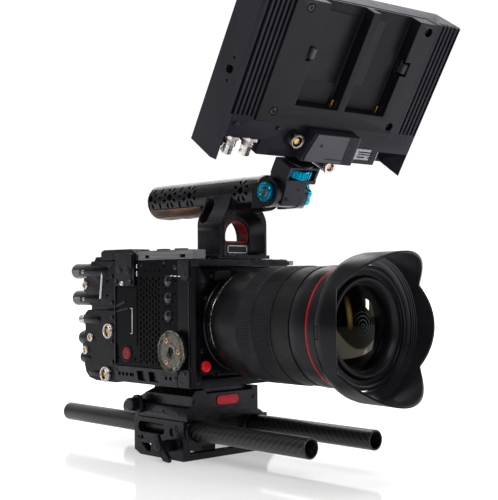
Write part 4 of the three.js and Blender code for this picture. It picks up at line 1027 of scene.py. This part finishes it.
def monitor_chin():
    """The sockets, label, plate and clamp bolt along the lower edge of the monitor's back."""
    place = MONITOR @ facing((-30.6, -34.3, 22.7), -Y)
    outer = [(4.9, 0), (6.5, 0), (6.5, 3.4), (6.1, 5.6), (5.5, 6), (4.9, 5.6)]
    port = Sketch(NICKEL).turned(outer, place, 48)
    port.use(SILVER).turned([(4, 0), (4.9, 0), (4.9, 5.5), (4.6, 5.8), (4.1, 5.6), (4, 1)], place, 48)
    # A dark disc of painted shade floors the port's well.
    port.use(SHADE_AND_PRINT_BLACK).peg(4, 0.2, 0.6, place, 32)
    port.use(GOLD).turned([(0, 0.5), (2.5, 0.5), (2.5, 4), (2.2, 4.4), (0, 4.4)], place, 28)
    port.piece("monitor_control_ring", "nickel", node="monitor_control_port", sharp=40)
    for side, x in (("left", -80.6), ("right", -64.4)):
        socket = MONITOR @ facing((x, -27.6, 18.6), -Z)
        bnc_socket(f"monitor_port_{side}", f"monitor_socket_{side}", socket, 14.5, 4.8)
    label = Sketch(RAIL).slab((29.5, 11.5), (56.2, 20.5), 0.6, -MON_BACK, 1.5 - MON_BACK, MONITOR_FRONT)
    label.use(SHADE_AND_PRINT_BLACK)
    for low, high in (((36, 17.4), (52, 18.4)), ((36, 15.6), (50, 16.4)), ((36, 13.2), (44, 14.2)),
                      ((47, 13.2), (53, 14.2))):
        label.slab(low, high, 0.2, 1.4 - MON_BACK, 1.6 - MON_BACK, MONITOR_FRONT, 2)
    label.piece("monitor_label", "silver", "monitor")
    place = MONITOR @ facing((8, 0, 5.4), -Y)
    neck = Sketch(PLASTIC).peg(5.6, 22, 39, place, 32)
    head = [(2.7, 39), (5.5, 39), (5.5, 41), (4.9, 41.8), (3.3, 41.8), (2.7, 41)]
    neck.use(SILVER).turned(head, place, 36).use(COPPER).peg(2.5, 39, 40, place, 6)
    neck.piece("foot_clamp_bolt", "steel_mount", "monitor", sharp=40)
    plate = Sketch(GREY)
    outline = [(-23.2, 10.6), (23.4, 10.6), (23.4, 32.6), (-18.6, 32.6), (-23.2, 14.5)]
    plate.use(LATCH).prism(outline, 44.8, 45.4, MONITOR_FRONT)
    plate.use(GREY).slab((-4, 13), (16, 14), 0.4, 45.3, 45.6, MONITOR_FRONT)
    plate.piece("monitor_chin_trim", "monitor_grey", "monitor", bevel=0.2)


# ---------------- base
def clamp_pieces():
    flank, front = 44, -30
    tool = Sketch()
    for side in (-1, 1):
        for y, z in ((22, 13.6), (4, 13)):
            tool.bore(1.7, -3, 2, facing((side * flank, y, z), X * side))
    for x in (-14, 0, 14):
        tool.bore(2.6, -3, 2, facing((x, front, 20), -Y), 18)
    refined("base_clamp", "base_block", ANODISED, "anodised_black", 0.7, tool)
    refined("clamp_body", "clamp_body_block", ANODISED, "anodised_black", 0.6)
    badge = Sketch(BADGE_RED).slab((-13.2, 41), (9.2, 48), 3.4, 33, 33.9, FRONT, 8)
    badge.slab((-11.4, 42.6), (7.4, 46.4), 1.8, 33.8, 34.1, FRONT, 8)
    badge.piece("clamp_badge", "red_button", "base", bevel=0.3)
    collars = Sketch(ANODISED)
    for x in (-ROD_X, ROD_X):
        profile = [(7.9, 28), (12.2, 28), (12.2, 30.6), (11.4, 31.4), (8.6, 31.4), (7.9, 30.8)]
        collars.turned(profile, facing((x, 0, ROD_Z), -Y), 56)
    for low, high in ((34.2, 34.7), (38.4, 38.8)):
        collars.box((-43.3, -33.3, low), (31.2, -31.5, high))
    collars.box((-43.3, -32, 34.2), (-42.6, 30.5, 34.7))
    collars.piece("rod_collars", "anodised_black", "base", bevel=0.15, sharp=40)
    bolts = Sketch(STEEL)
    for x in (-35.5, 26.5):
        bolts.screw((x, -33, 44), -Y, 1.9, 0.6)
    for side in (-1, 1):
        for y, z, radius, proud in ((-20.5, 24, 2.4, 0.7), (27, 13, 1.6, 0.5), (-24, 13.5, 1.6, 0.5)):
            bolts.screw((side * flank, y, z), X * side, radius, proud)
    for x in (-37, 37):
        bolts.screw((x, front, 14), -Y, 2.2, 0.7).screw((x, front, 26.5), -Y, 1.6, 0.5)
    for y in (-22, -4, 12):
        bolts.screw((-43, y, 35.5), -X, 1.8, 0.5)
    bolts.piece("base_screws", "steel_mount", "base", sharp=40)


def rods_and_levers():
    length = 297
    for end, x, front in (("near", -ROD_X, -150.9), ("far", ROD_X, -157.6)):
        back = front + length
        profile = [(6.3, front), (7.1, front), (7.5, front + 0.4), (7.5, back - 0.4), (7.1, back),
                   (6.3, back)]
        tube = Sketch(CARBON).turned(profile, facing((x, 0, ROD_Z), Y), 64)
        tube.piece(f"rod_{end}_tube", "carbon_fibre", node=f"rod_{end}", sharp=40)
    for end, side in (("near", -1), ("far", 1)):
        node = f"rod_lever_{end}"
        refined(node, node + "_wing", PLASTIC, "anodised_black", 0.6)
        boss = [(0, 45.2), (4.6, 45.2), (4.9, 46), (4.4, 53.6), (0, 53.6)]
        cap = Sketch(PLASTIC).turned(boss, facing((0, -15, 11), X * side), 40)
        cap.use(STEEL).screw((side * 58, -15, 11), X * side, 2.6, 0.35)
        cap.piece(node + "_cap", "steel_mount", f"lever_{end}", sharp=40)
    place = facing((-43.3, 27, 39.6), -X)
    knob = Sketch(ANODISED)
    knob.turned([(0, 0), (7, 0), (7.35, 0.4), (7.35, 2.6), (6.9, 3), (5, 3), (0, 3)], place, 48)
    knob.prism(scallops(5.2, 0.5, 18, 6), 2.9, 9.6, place)
    knob.turned([(0, 9.5), (4.6, 9.5), (4.2, 10.1), (0, 10.1)], place, 40).peg(3, -6, 0.2, place, 24)
    knob.piece("clamp_knob_grip", "anodised_black", node="clamp_knob", bevel=0.2)


# ---------------- studio, in metres
def linked(name, data):
    made = bpy.data.objects.new(name, data)
    bpy.context.scene.collection.objects.link(made)
    return made


def pale_floor():
    """A pale glossy floor whose glow, painted light, brightens with distance, so that it meets the white
    behind it.
    """
    reach = 9
    data = bpy.data.meshes.new("floor")
    data.from_pydata([(-reach, -reach, 0), (reach, -reach, 0), (reach, reach, 0), (-reach, reach, 0)], [],
                     [(0, 1, 2, 3)])
    pale = Shader("pale_floor", IOR=1.4, Emission_Color=(1, 1, 1, 1))
    pale.colour(pale.noise(3.0, 2.0), (0.52, 0.52, 0.52), (0.56, 0.56, 0.56))
    pale.roughness(pale.ramp(pale.noise(9.0, 3.0), 0.06, 0.11))
    away = pale.add("ShaderNodeVectorMath", {0: pale.position}, operation="LENGTH").outputs["Value"]
    # Painted light: the floor's glow is weaker near the rig and nearly full far from it.
    pale.links.new(pale.ramp(away, 0.42, 0.98, 0.2, 0.75), pale.surface["Emission Strength"])
    data.materials.append(pale.material)
    linked("floor", data)


def white_room():
    """A white world: even to the camera, and to everything else brightest behind and to the right."""
    world = bpy.data.worlds.new("studio")
    bpy.context.scene.world = world
    world.use_nodes = True
    tree = Tree(world.node_tree)
    sky = tree.nodes["Background"]
    sky.inputs["Color"].default_value = (1, 1, 1, 1)
    seen = tree.add("ShaderNodeBackground", {"Color": (1, 1, 1, 1), "Strength": 1.05})
    direction = tree.add("ShaderNodeTexCoord").outputs["Generated"]
    bright = {0: direction, 1: (0.68, 0.73, 0.1)}
    along = tree.add("ShaderNodeVectorMath", bright, operation="DOT_PRODUCT").outputs["Value"]
    inputs = {"Value": along, "From Min": -0.1, "From Max": 0.95, "To Min": 0.07, "To Max": 1.0}
    fade = tree.add("ShaderNodeMapRange", inputs, interpolation_type="SMOOTHSTEP")
    tree.links.new(fade.outputs[0], sky.inputs["Strength"])
    to_camera = tree.add("ShaderNodeLightPath").outputs["Is Camera Ray"]
    mix = tree.add("ShaderNodeMixShader", {0: to_camera, 1: sky.outputs[0], 2: seen.outputs[0]})
    tree.links.new(mix.outputs[0], tree.nodes["World Output"].inputs["Surface"])


def softbox(name, at, target, width, height, power, colour=(1, 1, 1), roll=0.0):
    light = bpy.data.lights.new(name, "AREA")
    light.color = colour
    light.shape = "RECTANGLE"
    light.size, light.size_y = width, height
    light.energy = power
    made = linked(name, light)
    made.location = at
    aim = (Vector(target) - Vector(at)).to_track_quat("-Z", "Y").to_matrix().to_4x4()
    made.rotation_euler = (aim @ spin(math.radians(roll))).to_euler()


def lights():
    softbox("overhead", (0.1, 0.0, 1.2), (0, -0.03, 0.15), 1.1, 1.1, 20)
    softbox("front_high", (-0.75, -1.2, 1.25), (0, -0.1, 0.12), 0.5, 0.5, 9)
    softbox("side_left", (-1.45, 0.15, 0.75), (0, 0.0, 0.12), 0.35, 0.9, 1.4, (0.78, 0.87, 1.0))
    softbox("lens_light", (1.112, -0.761, 0.563), (0, -0.15, 0.11), 0.12, 0.44, 3.4, roll=-48)
    softbox("back_high", (0.62, 0.95, 1.02), (0.02, -0.2, 0.06), 0.8, 0.5, 3.5)


def camera():
    """Low on the near side of the lens, tipped up a little."""
    azimuth, pitch, roll = -42.82, 1.58, -0.38
    view = bpy.data.cameras.new("camera")
    view.lens, view.sensor_width = 75.4, 36
    view.clip_start, view.clip_end = 0.01, 60
    made = linked("camera", view)
    made.location = (-0.5505, -0.6513, 0.1389)
    heading = spin(math.radians(azimuth)) @ spin(math.radians(90 + pitch), "X")
    made.rotation_euler = (heading @ spin(math.radians(roll))).to_euler()
    scene = bpy.context.scene
    scene.camera = made
    scene.view_settings.view_transform = "Standard"
    scene.view_settings.look = "None"


lens_tubes()
lens_marks()
lens_glass()
petal_hood()
side_panel()
printed_lines()
corner_brackets()
side_lock()
body_screws()
front_face()
rails_and_cases()
rosette_face()
port_modules()
plain_nodes()
handle_pieces()
arm_pieces()
monitor_cases()
monitor_bays()
monitor_chin()
clamp_pieces()
rods_and_levers()
pale_floor()
white_room()
lights()
camera()
